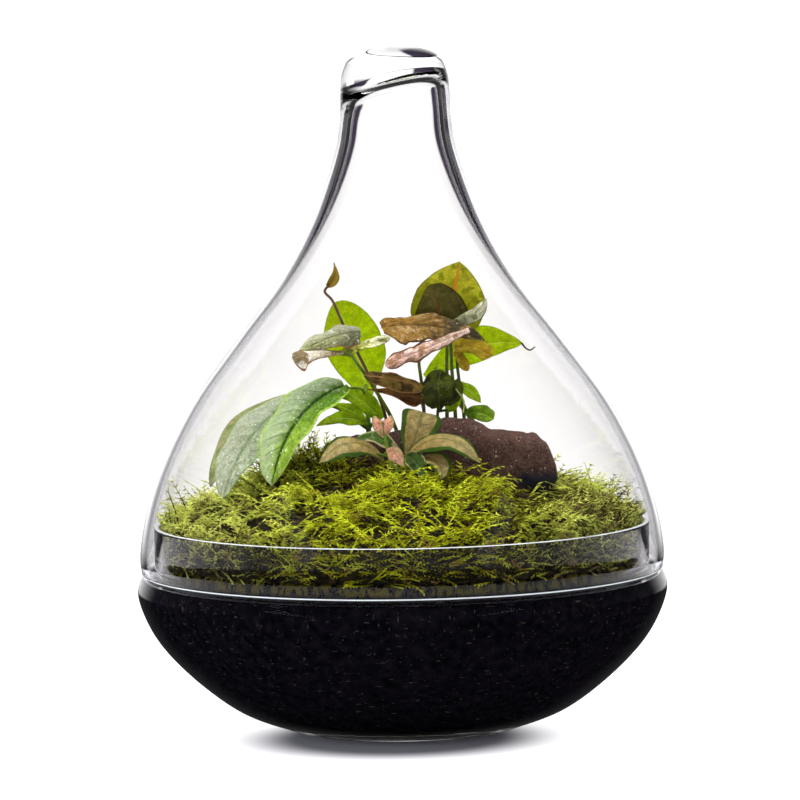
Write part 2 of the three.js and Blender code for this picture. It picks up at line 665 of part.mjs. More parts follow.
        faces: [0, -0.9, 0.3], rows: 5, columns: 2, from: [[18, 4, 149]],
      },
    ],
  },
  arrowhead_leaf_new: {
    finish: 'tan',
    stem: [[-8, 15, 150], [-19, 12, 175], [-26.5, 12, 190.5], [-31.5, 14, 202], [-35, 15, 206.5]],
    blades: [
      {
        base: [-34, 15, 209], via: [-30.5, 15, 213.5], tip: [-30.5, 15.5, 220.5], width: 5,
        faces: [0.3, -1, 0], fold: 0.7, wave: 0, columns: 2,
        shape: [
          [0, 0.35, 0.35], [0.25, 0.9, 0.9], [0.45, 0.95, 1], [0.7, 0.5, 0.6], [0.88, 0.2, 0.25],
          [1, 0, 0],
        ],
      },
    ],
  },
  coffee_stem_left: {
    finish: 'green',
    stem: [[-15, 12, 140], [-15.5, 16, 150]],
    blades: [
      {
        base: [-15, 19, 154.5], via: [-21.5, 27, 178], tip: [-31, 26, 200], width: 28,
        faces: [0.1, -1, 0.1], wave: 0.8,
        shape: [
          [0, 0.12, 0.12], [0.18, 0.62, 0.6], [0.38, 0.9, 1], [0.58, 1, 1], [0.8, 0.72, 0.8],
          [0.92, 0.4, 0.55], [0.98, 0.15, 0.3], [1, 0, 0.05],
        ],
      },
      {
        base: [-26, -8, 162.5], via: [-48, -26, 147.5], tip: [-59.5, -43, 119.5], width: 26,
        faces: [-0.5, -0.72, 0.48], fold: 0.5, droop: 0.25, wave: 1.2, waves: 3, rows: 9,
        from: [[-15.5, 16, 150], [-18, 4, 160]],
        shape: [
          [0, 0.35, 0.35], [0.12, 0.85, 0.8], [0.3, 1, 0.98], [0.5, 1, 1], [0.7, 0.85, 0.93],
          [0.86, 0.55, 0.66], [0.96, 0.22, 0.3], [1, 0, 0],
        ],
      },
      {
        base: [-47, -2, 156], via: [-68.5, -18, 141], tip: [-82.5, -36, 113], width: 27,
        faces: [-0.55, -0.62, 0.55], fold: 0.4, droop: 0.3, wave: 1.1, waves: 2.5,
        from: [[-15, 12, 140], [-32, 6, 152]],
        shape: [
          [0, 0.3, 0.3], [0.15, 0.8, 0.75], [0.4, 1, 1], [0.65, 0.9, 1], [0.85, 0.5, 0.65],
          [0.96, 0.2, 0.3], [1, 0, 0],
        ],
      },
      {
        base: [-46, 6, 157.5], via: [-73, -2, 143], tip: [-89.5, -14, 116.5], width: 22,
        faces: [-0.5, -0.5, 0.7], peak: 0.45, fold: 0.2, wave: 1, from: [[-15.5, 16, 150], [-32, 10, 157]],
      },
      {
        base: [-9, 11, 145], via: [-17, 8, 153], tip: [-27, 7, 159], width: 10, faces: [-0.1, -0.95, 0.3],
        rows: 6, columns: 2, from: [[-15, 12, 140]],
        shape: [
          [0, 0.3, 0.3], [0.25, 0.7, 0.9], [0.5, 0.8, 1.1], [0.8, 0.6, 0.9], [0.95, 0.3, 0.4], [1, 0, 0],
        ],
      },
      {
        base: [-15.5, 8, 143], via: [-23, 5, 149.5], tip: [-31, 3, 153], width: 6.5,
        faces: [0, -0.9, 0.4], rows: 5, columns: 2, from: [[-15, 12, 140]],
      },
      {
        base: [-16, 6, 143], via: [-27, 1, 146.5], tip: [-39.5, -3, 143.5], width: 7.5,
        faces: [0, -0.8, 0.6], rows: 6, columns: 2, from: [[-15, 12, 140]],
      },
    ],
  },
  coffee_stem_right: {
    finish: 'green',
    stem: [[36, 17, 140], [25, 21, 156]],
    blades: [
      {
        base: [12, 22, 164], via: [35, 25, 177], tip: [59.5, 24, 179.5], width: 19,
        faces: [0.05, -0.95, 0.3], wave: 0.8, fold: 0.2, droop: 0.05,
        shape: [
          [0, 0.1, 0.1], [0.2, 0.5, 0.5], [0.4, 0.85, 0.8], [0.55, 1, 0.85], [0.7, 0.88, 0.7],
          [0.85, 0.5, 0.45], [0.95, 0.2, 0.25], [1, 0, 0],
        ],
      },
      {
        base: [26.5, 14, 159.5], via: [32.5, 13, 158], tip: [38.5, 12, 152], width: 6.5,
        faces: [0.1, -0.9, 0.5], rows: 6, columns: 2, from: [[36, 17, 140], [31, 16.5, 150]],
        shape: [
          [0, 0.3, 0.3], [0.25, 0.8, 0.9], [0.6, 0.9, 1], [0.85, 0.6, 0.6], [1, 0.05, 0.05],
        ],
      },
      {
        base: [31.5, 16, 146.5], via: [38, 14, 147], tip: [44.5, 13, 144], width: 8,
        faces: [0, -0.9, 0.4], rows: 5, columns: 2, from: [[36, 17, 140]],
        shape: [
          [0, 0.3, 0.3], [0.25, 0.8, 0.8], [0.6, 1, 1], [0.85, 0.9, 0.8], [1, 0.1, 0.1],
        ],
      },
    ],
  },
  wax_sprig: {
    finish: 'cream',
    stem: [[3.5, -28, 128]],
    blades: [
      {
        base: [3, -29, 130.5], via: [7.5, -27, 140.5], tip: [11, -24, 151], width: 20,
        faces: [0.05, -1, 0.1], fold: 0.2, wave: 0.5,
        shape: [
          [0, 0.15, 0.15], [0.25, 0.5, 0.4], [0.5, 0.78, 0.66], [0.75, 0.92, 0.88], [0.9, 0.98, 0.95],
          [0.97, 0.85, 0.85], [1, 0.4, 0.5],
        ],
      },
      {
        base: [3, -30, 131], via: [20.5, -39, 139.5], tip: [36.5, -46, 129], width: 13.5,
        faces: [0.1, -0.62, 0.78], fold: 0.12, droop: 0.3, wave: 1.1, waves: 1.5, from: [[3.5, -28, 128]],
        shape: [
          [0, 0.15, 0.15], [0.25, 0.75, 0.75], [0.5, 1, 1], [0.75, 0.7, 0.75], [0.92, 0.3, 0.35],
          [1, 0, 0],
        ],
      },
      {
        base: [9.5, -34, 130.5], via: [17.5, -40, 128], tip: [18.5, -45, 121.5], width: 12,
        faces: [0.3, -0.7, 0.5], peak: 0.4, fold: 0.4, wave: 0.6, rows: 6, from: [[3.5, -28, 128]],
      },
      {
        base: [-8, -30, 129], via: [-22.5, -36, 138], tip: [-37.5, -40, 129.5], width: 14,
        faces: [0, -0.62, 0.78], fold: 0.12, droop: 0.3, wave: 1.1, waves: 1.5, from: [[3.5, -28, 128]],
        shape: [
          [0, 0.15, 0.15], [0.25, 0.65, 0.7], [0.5, 1, 0.9], [0.75, 0.9, 0.75], [0.92, 0.5, 0.4],
          [1, 0, 0],
        ],
      },
      {
        base: [0, -28, 131], via: [-9.5, -27, 139], tip: [-20.5, -27, 139], width: 8,
        faces: [0, -0.7, 0.7], peak: 0.5, rows: 6, columns: 2, from: [[3.5, -28, 128]],
      },
      {
        base: [2.5, -32, 131.5], via: [7, -37, 129], tip: [11, -41, 121.5], width: 9,
        faces: [-0.1, -0.8, 0.5], peak: 0.45, fold: 0.3, rows: 5, columns: 2, from: [[3.5, -28, 128]],
      },
    ],
  },
  wax_young_shoot: {
    finish: 'pink',
    stem: [[-4, -38, 128], [-6.5, -38, 138]],
    blades: [
      {
        base: [-8, -37, 148.5], via: [-8, -38, 145], tip: [-8, -37.5, 140.5], width: 10.5,
        faces: [0, -1, 0.2], peak: 0.25, start: 0.75, taper: 0.9, lobe: 0.3, fold: 0.3, wave: 0, rows: 5,
      },
      {
        base: [-6.5, -39, 135], via: [-2, -41, 132.5], tip: [1, -42, 127.5], width: 7,
        faces: [-0.3, -0.9, 0.3], wave: 0.3, rows: 5, columns: 2, from: [[-4, -38, 128]],
      },
    ],
  },
};

function plantSolid(name) {
  const { stem, blades } = PLANTS[name];
  const leaves = blades.map((blade) => ({ ...BLADE_DEFAULTS, ...blade }));
  const held = (leaf) => bladePoint(leaf, leaf.hold, 0).toArray();
  const [first, ...others] = leaves;
  return fuse([
    stemUp(name, [...stem, held(first)]),
    ...others.map((leaf) => stalkSolid([...leaf.from, held(leaf)], STALK_RADIUS, 4)),
    ...leaves.map(bladeSolid),
  ]);
}

// Stone

// The long stone's outline seen from the front, as [x, z].
const STONE_OUTLINE = [
  [-36, 116], [-38, 134], [-30, 138.5], [4, 141], [20, 146.5], [33, 146.5], [44, 141], [64, 138.5],
  [70, 131], [74, 117], [68, 109], [30, 109], [0, 112],
];
const STONE_FRONT_Y = -21;
const STONE_BACK_Y = 5;
const STONE_EDGE = 4.5;          // rounding of its front and back edges
const STONE_TAPER = 0.22;        // how much thinner its left end is
const STONE_LUMP = 0.8;

function stoneGeometry(grow) {
  const outline = new THREE.Shape(STONE_OUTLINE.map(([x, z]) => new THREE.Vector2(x, z)));
  const geometry = new THREE.ExtrudeGeometry(outline, {
    depth: STONE_BACK_Y - STONE_FRONT_Y - 2 * STONE_EDGE,
    steps: 2,
    bevelSegments: 2,
    bevelThickness: STONE_EDGE + grow,
    bevelSize: 1 + grow,
    bevelOffset: -1,
  });
  geometry.rotateX(Math.PI / 2);
  geometry.translate(0, STONE_BACK_Y - STONE_EDGE, 0);
  const middle = (STONE_FRONT_Y + STONE_BACK_Y) / 2;
  const position = geometry.getAttribute('position');
  for (let i = 0; i < position.count; i += 1) {
    const [x, y, z] = [position.getX(i), position.getY(i), position.getZ(i)];
    const thickness = 1 - STONE_TAPER * (1 - smoothstep(0, 40, x));
    const lump = STONE_LUMP * Math.sin(x * 0.23 + z * 0.31);
    position.setY(i, middle + (y - middle) * thickness + lump);
  }
  return geometry;
}

// Assembly

function part(name, solid, finish) {
  const mesh = new THREE.Mesh(toGeometry(solid), finish.clone());
  mesh.name = name;
  return mesh;
}

const stone = toManifold(stoneGeometry(0));
const pocket = toManifold(stoneGeometry(1.3 * GAP));
const holes = wasm.Manifold.union(Object.keys(STEMS).map(stemHole));

const terrarium = new THREE.Group();
terrarium.add(part('glass_bowl', turnedSolid(bowlProfile(), SECTORS), MATERIALS.glass));
terrarium.add(part('glass_dome', turnedSolid(domeProfile(), SECTORS, slantCeiling), MATERIALS.glass));
terrarium.add(part('soil', soilSolid().subtract(holes), MATERIALS.soil));
const moss = largestBody(mossSolid().subtract(holes).subtract(pocket));
terrarium.add(part('moss_carpet', moss, MATERIALS.moss));
terrarium.add(part('stone', stone, MATERIALS.stone));
for (const [name, plant] of Object.entries(PLANTS)) {
  terrarium.add(part(name, plantSolid(name), MATERIALS[plant.finish]));
}

export default terrarium;
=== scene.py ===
"""A planted glass terrarium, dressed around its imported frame.

A round bowl of dark soil and feathery moss is closed by a drop-shaped glass dome. Inside stand an arrowhead
plant, two coffee stems with glossy leaves, a variegated wax plant and a long granular stone. All sizes below
are millimetres, +Z is up, the origin is the middle of the foot and the front is -Y. Meshes are written in
metres, in the frame's own place.
"""

import logging
import math
from dataclasses import dataclass, field
from enum import Enum
from typing import Callable, Iterable, Protocol, Sequence

import bpy
import numpy as np
from mathutils import Matrix, Vector


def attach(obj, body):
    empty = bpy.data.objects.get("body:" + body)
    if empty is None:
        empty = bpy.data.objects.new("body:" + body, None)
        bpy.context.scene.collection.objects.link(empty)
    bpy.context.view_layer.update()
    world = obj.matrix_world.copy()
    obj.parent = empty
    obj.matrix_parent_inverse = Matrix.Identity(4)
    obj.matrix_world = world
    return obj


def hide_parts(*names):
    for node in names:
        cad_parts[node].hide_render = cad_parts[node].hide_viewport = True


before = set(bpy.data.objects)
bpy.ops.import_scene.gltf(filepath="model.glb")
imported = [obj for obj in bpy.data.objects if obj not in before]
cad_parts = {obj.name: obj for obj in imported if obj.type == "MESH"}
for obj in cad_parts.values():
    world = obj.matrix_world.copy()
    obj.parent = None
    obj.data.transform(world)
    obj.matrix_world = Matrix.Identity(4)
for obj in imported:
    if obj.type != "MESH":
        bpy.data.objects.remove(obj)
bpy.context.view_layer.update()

LOG = logging.getLogger("terrarium")
MM = 0.001
BODY = "root"
Array = np.ndarray
Material = bpy.types.Material
Node = bpy.types.Node
Piece = bpy.types.Object
Socket = bpy.types.NodeSocket
Tree = bpy.types.NodeTree
Pair = tuple[float, float]
Point = tuple[float, float, float]
Ramp = tuple[tuple[float, str], ...]

# Sizes that the solids share

GAP = 0.3
FOOT_RADIUS = 54.0
FOOT_RECESS_RADIUS = 46.0
FOOT_RECESS_DEPTH = 1.6
BOWL_WALL = 3.0
BOWL_FLOOR = 7.0
SEAT_Z = 74.6
COLLAR_RADIUS = 117.1
COLLAR_TOP_Z = 97.7
COLLAR_WALL = 2.6
BED_WALL = COLLAR_RADIUS - COLLAR_WALL - GAP
SOIL_EDGE_Z = 79.5
SOIL_RISE = 24.0
MOSS_EDGE_Z = 97.0
MOSS_RISE = 24.0
MOSS_SHOULDER = 2.8
MOSS_LUMP = 1.7
LEAF_THICKNESS = 0.32

# The dome's outer side from its rim up, as radius and height
DOME_SIDE = (
    (123.3, 75.5), (124, 82), (121.4, 100), (113.5, 125), (97.7, 156), (75.9, 186), (56.2, 212), (42.3, 236),
    (33.4, 258), (27.6, 278), (26, 292),
)


# Colour and small mathematics


def linear(code: str) -> tuple[float, float, float, float]:
    """Turn an sRGB hex colour into Blender's linear colour.

    Args:
        code: Six hex digits, such as "a9b80f".

    Returns:
        Linear red, green, blue and an alpha of one.
    """
    values = [int(code[i:i + 2], 16) / 255 for i in (0, 2, 4)]
    red, green, blue = (v / 12.92 if v <= 0.04045 else ((v + 0.055) / 1.055) ** 2.4 for v in values)
    return red, green, blue, 1.0


def smoothstep(low: float, high: float, value: Array) -> Array:
    """Rise smoothly from 0 at low to 1 at high, by 3t^2 - 2t^3."""
    t = np.clip((value - low) / (high - low), 0, 1)
    return t * t * (3 - 2 * t)


def within(value: Array, rise: Pair, fall: Pair) -> Array:
    """Rise smoothly from 0 to 1 over one range and fall back to 0 over a later one."""
    return smoothstep(*rise, value) * (1 - smoothstep(*fall, value))


def unit(vectors: Array) -> Array:
    """Scale each vector of an array to length one."""
    return vectors / np.maximum(np.linalg.norm(vectors, axis=-1, keepdims=True), 1e-9)


def smooth_noise(points: Array, size: float, seed: int) -> Array:
    """Work out smooth noise from random values on a cubic lattice.

    Each lattice corner gets a fixed random number from a hash of its place, and a point takes the blend of
    its cell's eight corners, eased by 3t^2 - 2t^3 along each axis.

    Args:
        points: Places, as an array of rows of x, y, z.
        size: Edge of a lattice cell, in the units of the points.
        seed: Picks one of many noises.

    Returns:
        One value from -1 to 1 for each point.
    """
    scaled = np.asarray(points, float) / size + 37.0
    cell = np.floor(scaled).astype(np.int64)
    part = scaled - cell
    ease = part * part * (3 - 2 * part)
    total = np.zeros(scaled.shape[:-1])
    for corner in range(8):
        step = np.array([corner & 1, corner >> 1 & 1, corner >> 2 & 1])
        place = cell + step
        mixed = (place[..., 0] * 73856093) ^ (place[..., 1] * 19349663) ^ (place[..., 2] * 83492791)
        mixed = (mixed ^ (seed * 2654435761)) & 0xFFFFFFFF
        mixed = (mixed * 1664525 + 1013904223) & 0xFFFFFFFF
        mixed = ((mixed >> 13) ^ mixed) * 1103515245 & 0xFFFFFFFF
        share = np.prod(np.where(step == 1, ease, 1 - ease), axis=-1)
        total += share * (mixed / 2147483648.0 - 1)
    return total


def curve_through(stations: Sequence[Sequence[float]], between: int) -> Array:
    """Draw a smooth curve through a few stations, as a centripetal Catmull-Rom spline.

    Each span between two stations is a cubic whose end slopes come from the neighbouring stations, spaced by
    the fourth root of the squared distances. Past the ends the first and last spans are mirrored.

    Args:
        stations: Points of two or three coordinates.
        between: How many pieces each span is cut into.

    Returns:
        The points of the curve, the stations among them.
    """
    given = np.asarray(stations, float)
    whole = np.vstack([2 * given[0] - given[1], given, 2 * given[-1] - given[-2]])
    p0, p1, p2, p3 = whole[:-3], whole[1:-2], whole[2:-1], whole[3:]
    pairs = ((p0, p1), (p1, p2), (p2, p3))
    d0, d1, d2 = (np.sum((b - a) ** 2, axis=1, keepdims=True) ** 0.25 for a, b in pairs)
    m1 = ((p1 - p0) / d0 - (p2 - p0) / (d0 + d1) + (p2 - p1) / d1) * d1
    m2 = ((p2 - p1) / d1 - (p3 - p1) / (d1 + d2) + (p3 - p2) / d2) * d1
    t = (np.arange(between) / between)[None, :, None]
    p1, p2, m1, m2 = (a[:, None, :] for a in (p1, p2, m1, m2))
    spans = p1 + m1 * t + (3 * (p2 - p1) - 2 * m1 - m2) * t ** 2 + (2 * (p1 - p2) + m1 + m2) * t ** 3
    return np.vstack([spans.reshape(-1, given.shape[1]), given[-1:]])


# Surfaces


@dataclass
class Surface:
    """Points, faces and what each carries, before they become a mesh.

    Attributes:
        points: Rows of x, y, z in millimetres.
        faces: Rows of four point numbers; a triangle repeats its last.
        uv: One pair for each point.
        finish: One material number for each face.
    """

    points: Array
    faces: Array
    uv: Array
    finish: Array

    @classmethod
    def of(cls, points: Array, faces: Array, uv: Array | None = None, finish: int = 0) -> "Surface":
        """Make a surface of one finish.

        Args:
            points: Points in an array of any shape whose last axis is x, y, z.
            faces: Point numbers, four to a face.
            uv: A pair for each point; blank where none are given.
            finish: The material number of all faces.

        Returns:
            The surface.
        """
        flat = np.asarray(points, float).reshape(-1, 3)
        pairs = np.zeros((len(flat), 2)) if uv is None else np.asarray(uv, float).reshape(-1, 2)
        rows = np.asarray(faces, np.int64).reshape(-1, 4)
        return cls(flat, rows, pairs, np.full(len(rows), finish))

    @classmethod
    def joined(cls, surfaces: Iterable["Surface"]) -> "Surface":
        """Put several surfaces into one, each as a part of its own.

        Args:
            surfaces: The surfaces, in the order that their points and faces take.

        Returns:
            The one surface.
        """
        parts = list(surfaces)
        starts = np.cumsum([0] + [len(part.points) for part in parts[:-1]])
        return cls(
            np.vstack([part.points for part in parts]),
            np.vstack([part.faces + start for part, start in zip(parts, starts)]),
            np.vstack([part.uv for part in parts]),
            np.concatenate([part.finish for part in parts]),
        )

    def piece(self, name: str, materials: Sequence[Material], sharp: float = 180.0) -> Piece:
        """Write the surface into a mesh object that stands at the origin.

        Args:
            name: The object's name.
            materials: What the finish numbers stand for.
            sharp: Edges that bend by more degrees than this stay sharp.

        Returns:
            The new object.
        """
        is_triangle = self.faces[:, 2] == self.faces[:, 3]
        counts = np.where(is_triangle, 3, 4)
        keep = np.ones(self.faces.shape, bool)
        keep[is_triangle, 3] = False
        corners = self.faces[keep]
        mesh = bpy.data.meshes.new(name)
        mesh.vertices.add(len(self.points))
        mesh.vertices.foreach_set("co", (self.points * MM).astype(np.float32).ravel())
        mesh.loops.add(len(corners))
        mesh.loops.foreach_set("vertex_index", corners.astype(np.int32))
        mesh.polygons.add(len(self.faces))
        mesh.polygons.foreach_set("loop_start", (np.cumsum(counts) - counts).astype(np.int32))
        mesh.polygons.foreach_set("loop_total", counts.astype(np.int32))
        mesh.polygons.foreach_set("material_index", self.finish.astype(np.int32))
        layer = mesh.uv_layers.new(name="UVMap")
        layer.data.foreach_set("uv", self.uv[corners].astype(np.float32).ravel())
        mesh.update(calc_edges=True)
        mesh.validate()
        mesh.shade_smooth()
        mesh.set_sharp_from_angle(angle=math.radians(sharp))
        for material in materials:
            mesh.materials.append(material)
        made = bpy.data.objects.new(name, mesh)
        bpy.context.scene.collection.objects.link(made)
        return made


def grid_faces(rows: int, columns: int, around: bool = True) -> Array:
    """List the quads of a grid of points that is stored row by row.

    Args:
        rows: Number of rows of points.
        columns: Number of points in a row.
        around: True where the last column joins the first again.

    Returns:
        Rows of four point numbers.
    """
    row = np.arange(rows - 1)[:, None]
    column = np.arange(columns if around else columns - 1)[None, :]
    after = (column + 1) % columns
    a, b = row * columns + column, row * columns + after
    return np.stack([a, b, b + columns, a + columns], axis=-1).reshape(-1, 4)


def ring_faces(rings: int, sides: int) -> Array:
    """List the faces of rings that a fan to a pole closes at either end.

    Args:
        rings: Number of rings, whose points are stored ring by ring, the first and the last pole after them.
        sides: Number of points in a ring.

    Returns:
        Rows of four point numbers.
    """
    here = np.arange(sides)
    after = (here + 1) % sides
    pole = rings * sides
    end = pole - sides
    first = np.stack([np.full(sides, pole), after, here, here], axis=-1)
    last = np.stack([np.full(sides, pole + 1), end + here, end + after, end + after], axis=-1)
    return np.vstack([grid_faces(rings, sides), first, last])


def turned(profile: Array, sectors: int, warp: Callable[[Array], Array] | None = None) -> Surface:
    """Turn a profile about Z into a closed solid of revolution.

    A point of the profile at radius r and height z becomes a ring of (r cos a, r sin a, z). The profile starts
    and ends on the axis, where a ring shrinks to one pole.

    Args:
        profile: Rows of radius and height.
        sectors: Number of points in a ring.
        warp: Moves the points, where the thing is a little off the round.

    Returns:
        The surface, with faces outward when the profile runs from the lower or inner pole outward and up.
    """
    angle = 2 * math.pi * np.arange(sectors) / sectors
    ring = profile[1:-1]
    body = np.stack([
        ring[:, :1] * np.cos(angle), ring[:, :1] * np.sin(angle), np.repeat(ring[:, 1:], sectors, axis=1),
    ], axis=-1)
    poles = np.array([[0, 0, profile[0, 1]], [0, 0, profile[-1, 1]]])
    points = np.vstack([body.reshape(-1, 3), poles])
    return Surface.of(points if warp is None else warp(points), ring_faces(len(ring), sectors))


def tube(path: Array, radius: Array, sides: int, finish: int = 0) -> Surface:
    """Carry a round section along a path and close both ends.

    Each ring lies square to the path: its two axes are the cross product of the path's direction with a fixed
    reference, and the cross product of the two. The reference is the world axis that the path runs along least.

    Args:
        path: Rows of x, y, z.
        radius: One radius for each point of the path.
        sides: Number of points in a ring.
        finish: Material number.

    Returns:
        The closed tube, with u along it and v around it.
    """
    along = unit(np.gradient(path, axis=0))
    reference = np.eye(3)[np.argmin(np.max(np.abs(along), axis=0))]
    across = unit(np.cross(along, reference))
    other = np.cross(along, across)
    angle = (2 * math.pi * np.arange(sides) / sides)[None, :, None]
    circle = across[:, None] * np.cos(angle) + other[:, None] * np.sin(angle)
    rings = path[:, None] + radius[:, None, None] * circle
    points = np.vstack([rings.reshape(-1, 3), path[:1], path[-1:]])
    u = np.repeat(np.linspace(0, 1, len(path)), sides)
    v = np.tile(np.abs(np.linspace(-1, 1, sides, endpoint=False)), len(path))
    uv = np.vstack([np.stack([u, v], axis=-1), [[0, 0], [1, 0]]])
    return Surface.of(points, ring_faces(len(path), sides), uv, finish)


# Shader helpers


def add_node(tree: Tree, kind: str, inputs: dict | None = None, **settings: object) -> Node:
    """Add a shader node with its settings, its values and its links.

    Args:
        tree: The node tree.
        kind: The node's type, without its leading "ShaderNode".
        inputs: Socket name or number to a value, or to the output socket that feeds it.
        **settings: The node's own properties.

    Returns:
        The new node.
    """
    made = tree.nodes.new("ShaderNode" + kind)
    for name, value in settings.items():
        setattr(made, name, value)
    for key, value in (inputs or {}).items():
        socket = made.inputs[key]
        if isinstance(value, Socket):
            tree.links.new(value, socket)
        else:
            socket.default_value = value
    return made


def new_material(name: str) -> tuple[Material, Tree]:
    """Make an empty material.

    Args:
        name: The material's name.

    Returns:
        The material and its node tree.
    """
    material = bpy.data.materials.new(name)
    material.use_nodes = True
    material.node_tree.nodes.clear()
    return material, material.node_tree


def finished(material: Material, shader: Node) -> Material:
    """Lead a shader into its material's output and give the material."""
    add_node(material.node_tree, "OutputMaterial", {"Surface": shader.outputs[0]})
    return material


def leafy(tree: Tree, face: Node, behind: Socket, share: float) -> Node:
    """Let a share of the light come through a thin leaf from behind, in the colour that behind gives."""
    through = add_node(tree, "BsdfTranslucent", {"Color": behind})
    return add_node(tree, "MixShader", {0: share, 1: face.outputs[0], 2: through.outputs[0]})


def stops(tree: Tree, value: Socket, marks: Ramp) -> Socket:
    """Turn a value into a colour by a ramp of hex colours.

    Args:
        tree: The node tree.
        value: The socket that picks the place on the ramp.
        marks: Pairs of place and hex colour.

    Returns:
        The colour output.
    """
    ramp = add_node(tree, "ValToRGB", {"Fac": value})
    while len(ramp.color_ramp.elements) < len(marks):
        ramp.color_ramp.elements.new(0.5)
    for element, (place, code) in zip(ramp.color_ramp.elements, marks):
        element.position = place
        element.color = linear(code)
    return ramp.outputs["Color"]


def ranged(tree: Tree, value: Socket, low: float, high: float, to: Pair = (0.0, 1.0)) -> Socket:
    """Map a value smoothly to another range, clamped at its ends.

    Args:
        tree: The node tree.
        value: The socket that is mapped.
        low: The value that gives the first end of the new range. It may lie above high.
        high: The value that gives the second end.
        to: The two ends of the new range.

    Returns:
        The mapped value.
    """
    ends = {"From Min": low, "From Max": high, "To Min": to[0], "To Max": to[1]}
    return add_node(tree, "MapRange", {"Value": value, **ends}, interpolation_type="SMOOTHSTEP").outputs["Result"]


def blended(tree: Tree, share: Socket | float, below: object, above: object, how: str = "MIX") -> Socket:
    """Mix two colours.

    Args:
        tree: The node tree.
        share: How much of the upper colour covers the lower one.
        below: The lower colour, as a socket or a hex code.
        above: The upper colour, as a socket or a hex code.
        how: The kind of mix.

    Returns:
        The mixed colour.
    """
    colours = {i: linear(c) if isinstance(c, str) else c for i, c in ((6, below), (7, above))}
    return add_node(tree, "Mix", {0: share, **colours}, data_type="RGBA", blend_type=how).outputs[2]


def sum_of(tree: Tree, how: str, *values: object) -> Socket:
    """Do one sum of the Math node on sockets or numbers."""
    return add_node(tree, "Math", dict(enumerate(values)), operation=how).outputs[0]


def object_noise(tree: Tree, size: float, detail: float = 2.0, stretch: Point = (1, 1, 1)) -> Socket:
    """Read noise on Object coordinates.

    Args:
        tree: The node tree.
        size: Rough size of one lump of the noise, in millimetres.
        detail: How many finer layers it has.
        stretch: Factors on the three axes.

    Returns:
        The noise value, about 0.5 in the mean.
    """
    place = add_node(tree, "TexCoord").outputs["Object"]
    turned_place = add_node(tree, "Mapping", {"Vector": place, "Scale": stretch}).outputs[0]
    made = add_node(tree, "TexNoise", {"Vector": turned_place, "Scale": 1 / (size * MM), "Detail": detail})
    return made.outputs["Fac"]


def object_axes(tree: Tree) -> Sequence[Socket]:
    """Read x, y and z of the Object coordinates, in metres."""
    return add_node(tree, "SeparateXYZ", {0: add_node(tree, "TexCoord").outputs["Object"]}).outputs


def uv_axes(tree: Tree) -> Sequence[Socket]:
    """Read u and v of the piece's own UV map."""
    return add_node(tree, "SeparateXYZ", {0: add_node(tree, "UVMap", uv_map="UVMap").outputs[0]}).outputs


def grey(tree: Tree, value: Socket | float) -> Socket:
    """Make a grey of a value."""
    return add_node(tree, "CombineXYZ", {0: value, 1: value, 2: value}).outputs[0]


def shaded(tree: Tree, colour: Socket, factor: Socket | float) -> Socket:
    """Multiply a colour by a factor."""
    return blended(tree, 1.0, colour, grey(tree, factor), "MULTIPLY")


def placed(piece: Piece, node: str) -> Piece:
    """Let a piece ride with the body and stand in for its solid.

    Args:
        piece: The finished mesh object.
        node: The solid that it replaces.

    Returns:
        The same piece.
    """
    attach(piece, BODY)
    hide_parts(node)
    return piece


class Finish(Protocol):
    """What gives a piece its look: a name and a way to make the material of that name."""

    name: str

    def material(self) -> Material:
        """Make the material."""


def material_of(finish: Finish) -> Material:
    """Give a finish's material, which is made at its first use."""
    return bpy.data.materials.get(finish.name) or finish.material()


# Glass


class Clearness(Enum):
    """How much of the light a glass wall sends back."""

    DOME = "9a9ca0"
    BOWL = "74767c"


@dataclass(frozen=True)
class BlownGlass:
    """Clear soda-lime glass, blown and fire polished: smooth, with bright and dark lines at its edges.

    Attributes:
        name: The material's name.
        shine: Tint of its reflection.
        tint: What one surface lets through of the light that it bends.
        straight: What one surface lets straight through of lamp light and soft light.
        ior: 1.5 is usual for soda-lime glass.
        swell: Width in millimetres of the slow waves that blowing leaves in the wall.
        swell_strength: How strongly they bend the reflections.
    """

    name: str
    shine: Clearness
    tint: str = "fdfcfc"
    straight: str = "f6f6f6"
    ior: float = 1.5
    swell: float = 34.0
    swell_strength: float = 0.05

    def material(self) -> Material:
        """Make glass that lets lamps and soft light straight through to what it shuts in.

        Returns:
            The material.
        """
        made, tree = new_material(self.name)
        swell = object_noise(tree, self.swell, 1.0, (1, 1, 0.35))
        wave = add_node(tree, "Bump", {"Height": swell, "Strength": self.swell_strength, "Distance": MM})
        glass = add_node(tree, "BsdfPrincipled", {
            "Base Color": linear(self.tint), "Roughness": 0.0, "IOR": self.ior, "Transmission Weight": 1.0,
            "Specular Tint": linear(self.shine.value), "Normal": wave.outputs[0],
        })
        rays = add_node(tree, "LightPath").outputs
        soft = sum_of(tree, "MAXIMUM", rays["Is Shadow Ray"], rays["Is Diffuse Ray"])
        clear = add_node(tree, "BsdfTransparent", {"Color": linear(self.straight)})
        return finished(made, add_node(tree, "MixShader", {0: soft, 1: glass.outputs[0], 2: clear.outputs[0]}))


@dataclass(frozen=True)
class GroundEdge:
    """The edge of a glass wall where it was cut and ground: white, finely frosted, catching the light."""

    name: str = "ground_glass_edge"

    def material(self) -> Material:
        """Let nearly half of the light through a frosted skin and scatter the rest.

        Returns:
            The material.
        """
        made, tree = new_material(self.name)
        surface = add_node(tree, "BsdfPrincipled", {
            "Base Color": linear("e9eef0"), "Roughness": 0.4, "IOR": 1.5, "Transmission Weight": 0.45,
        })
        return finished(made, surface)


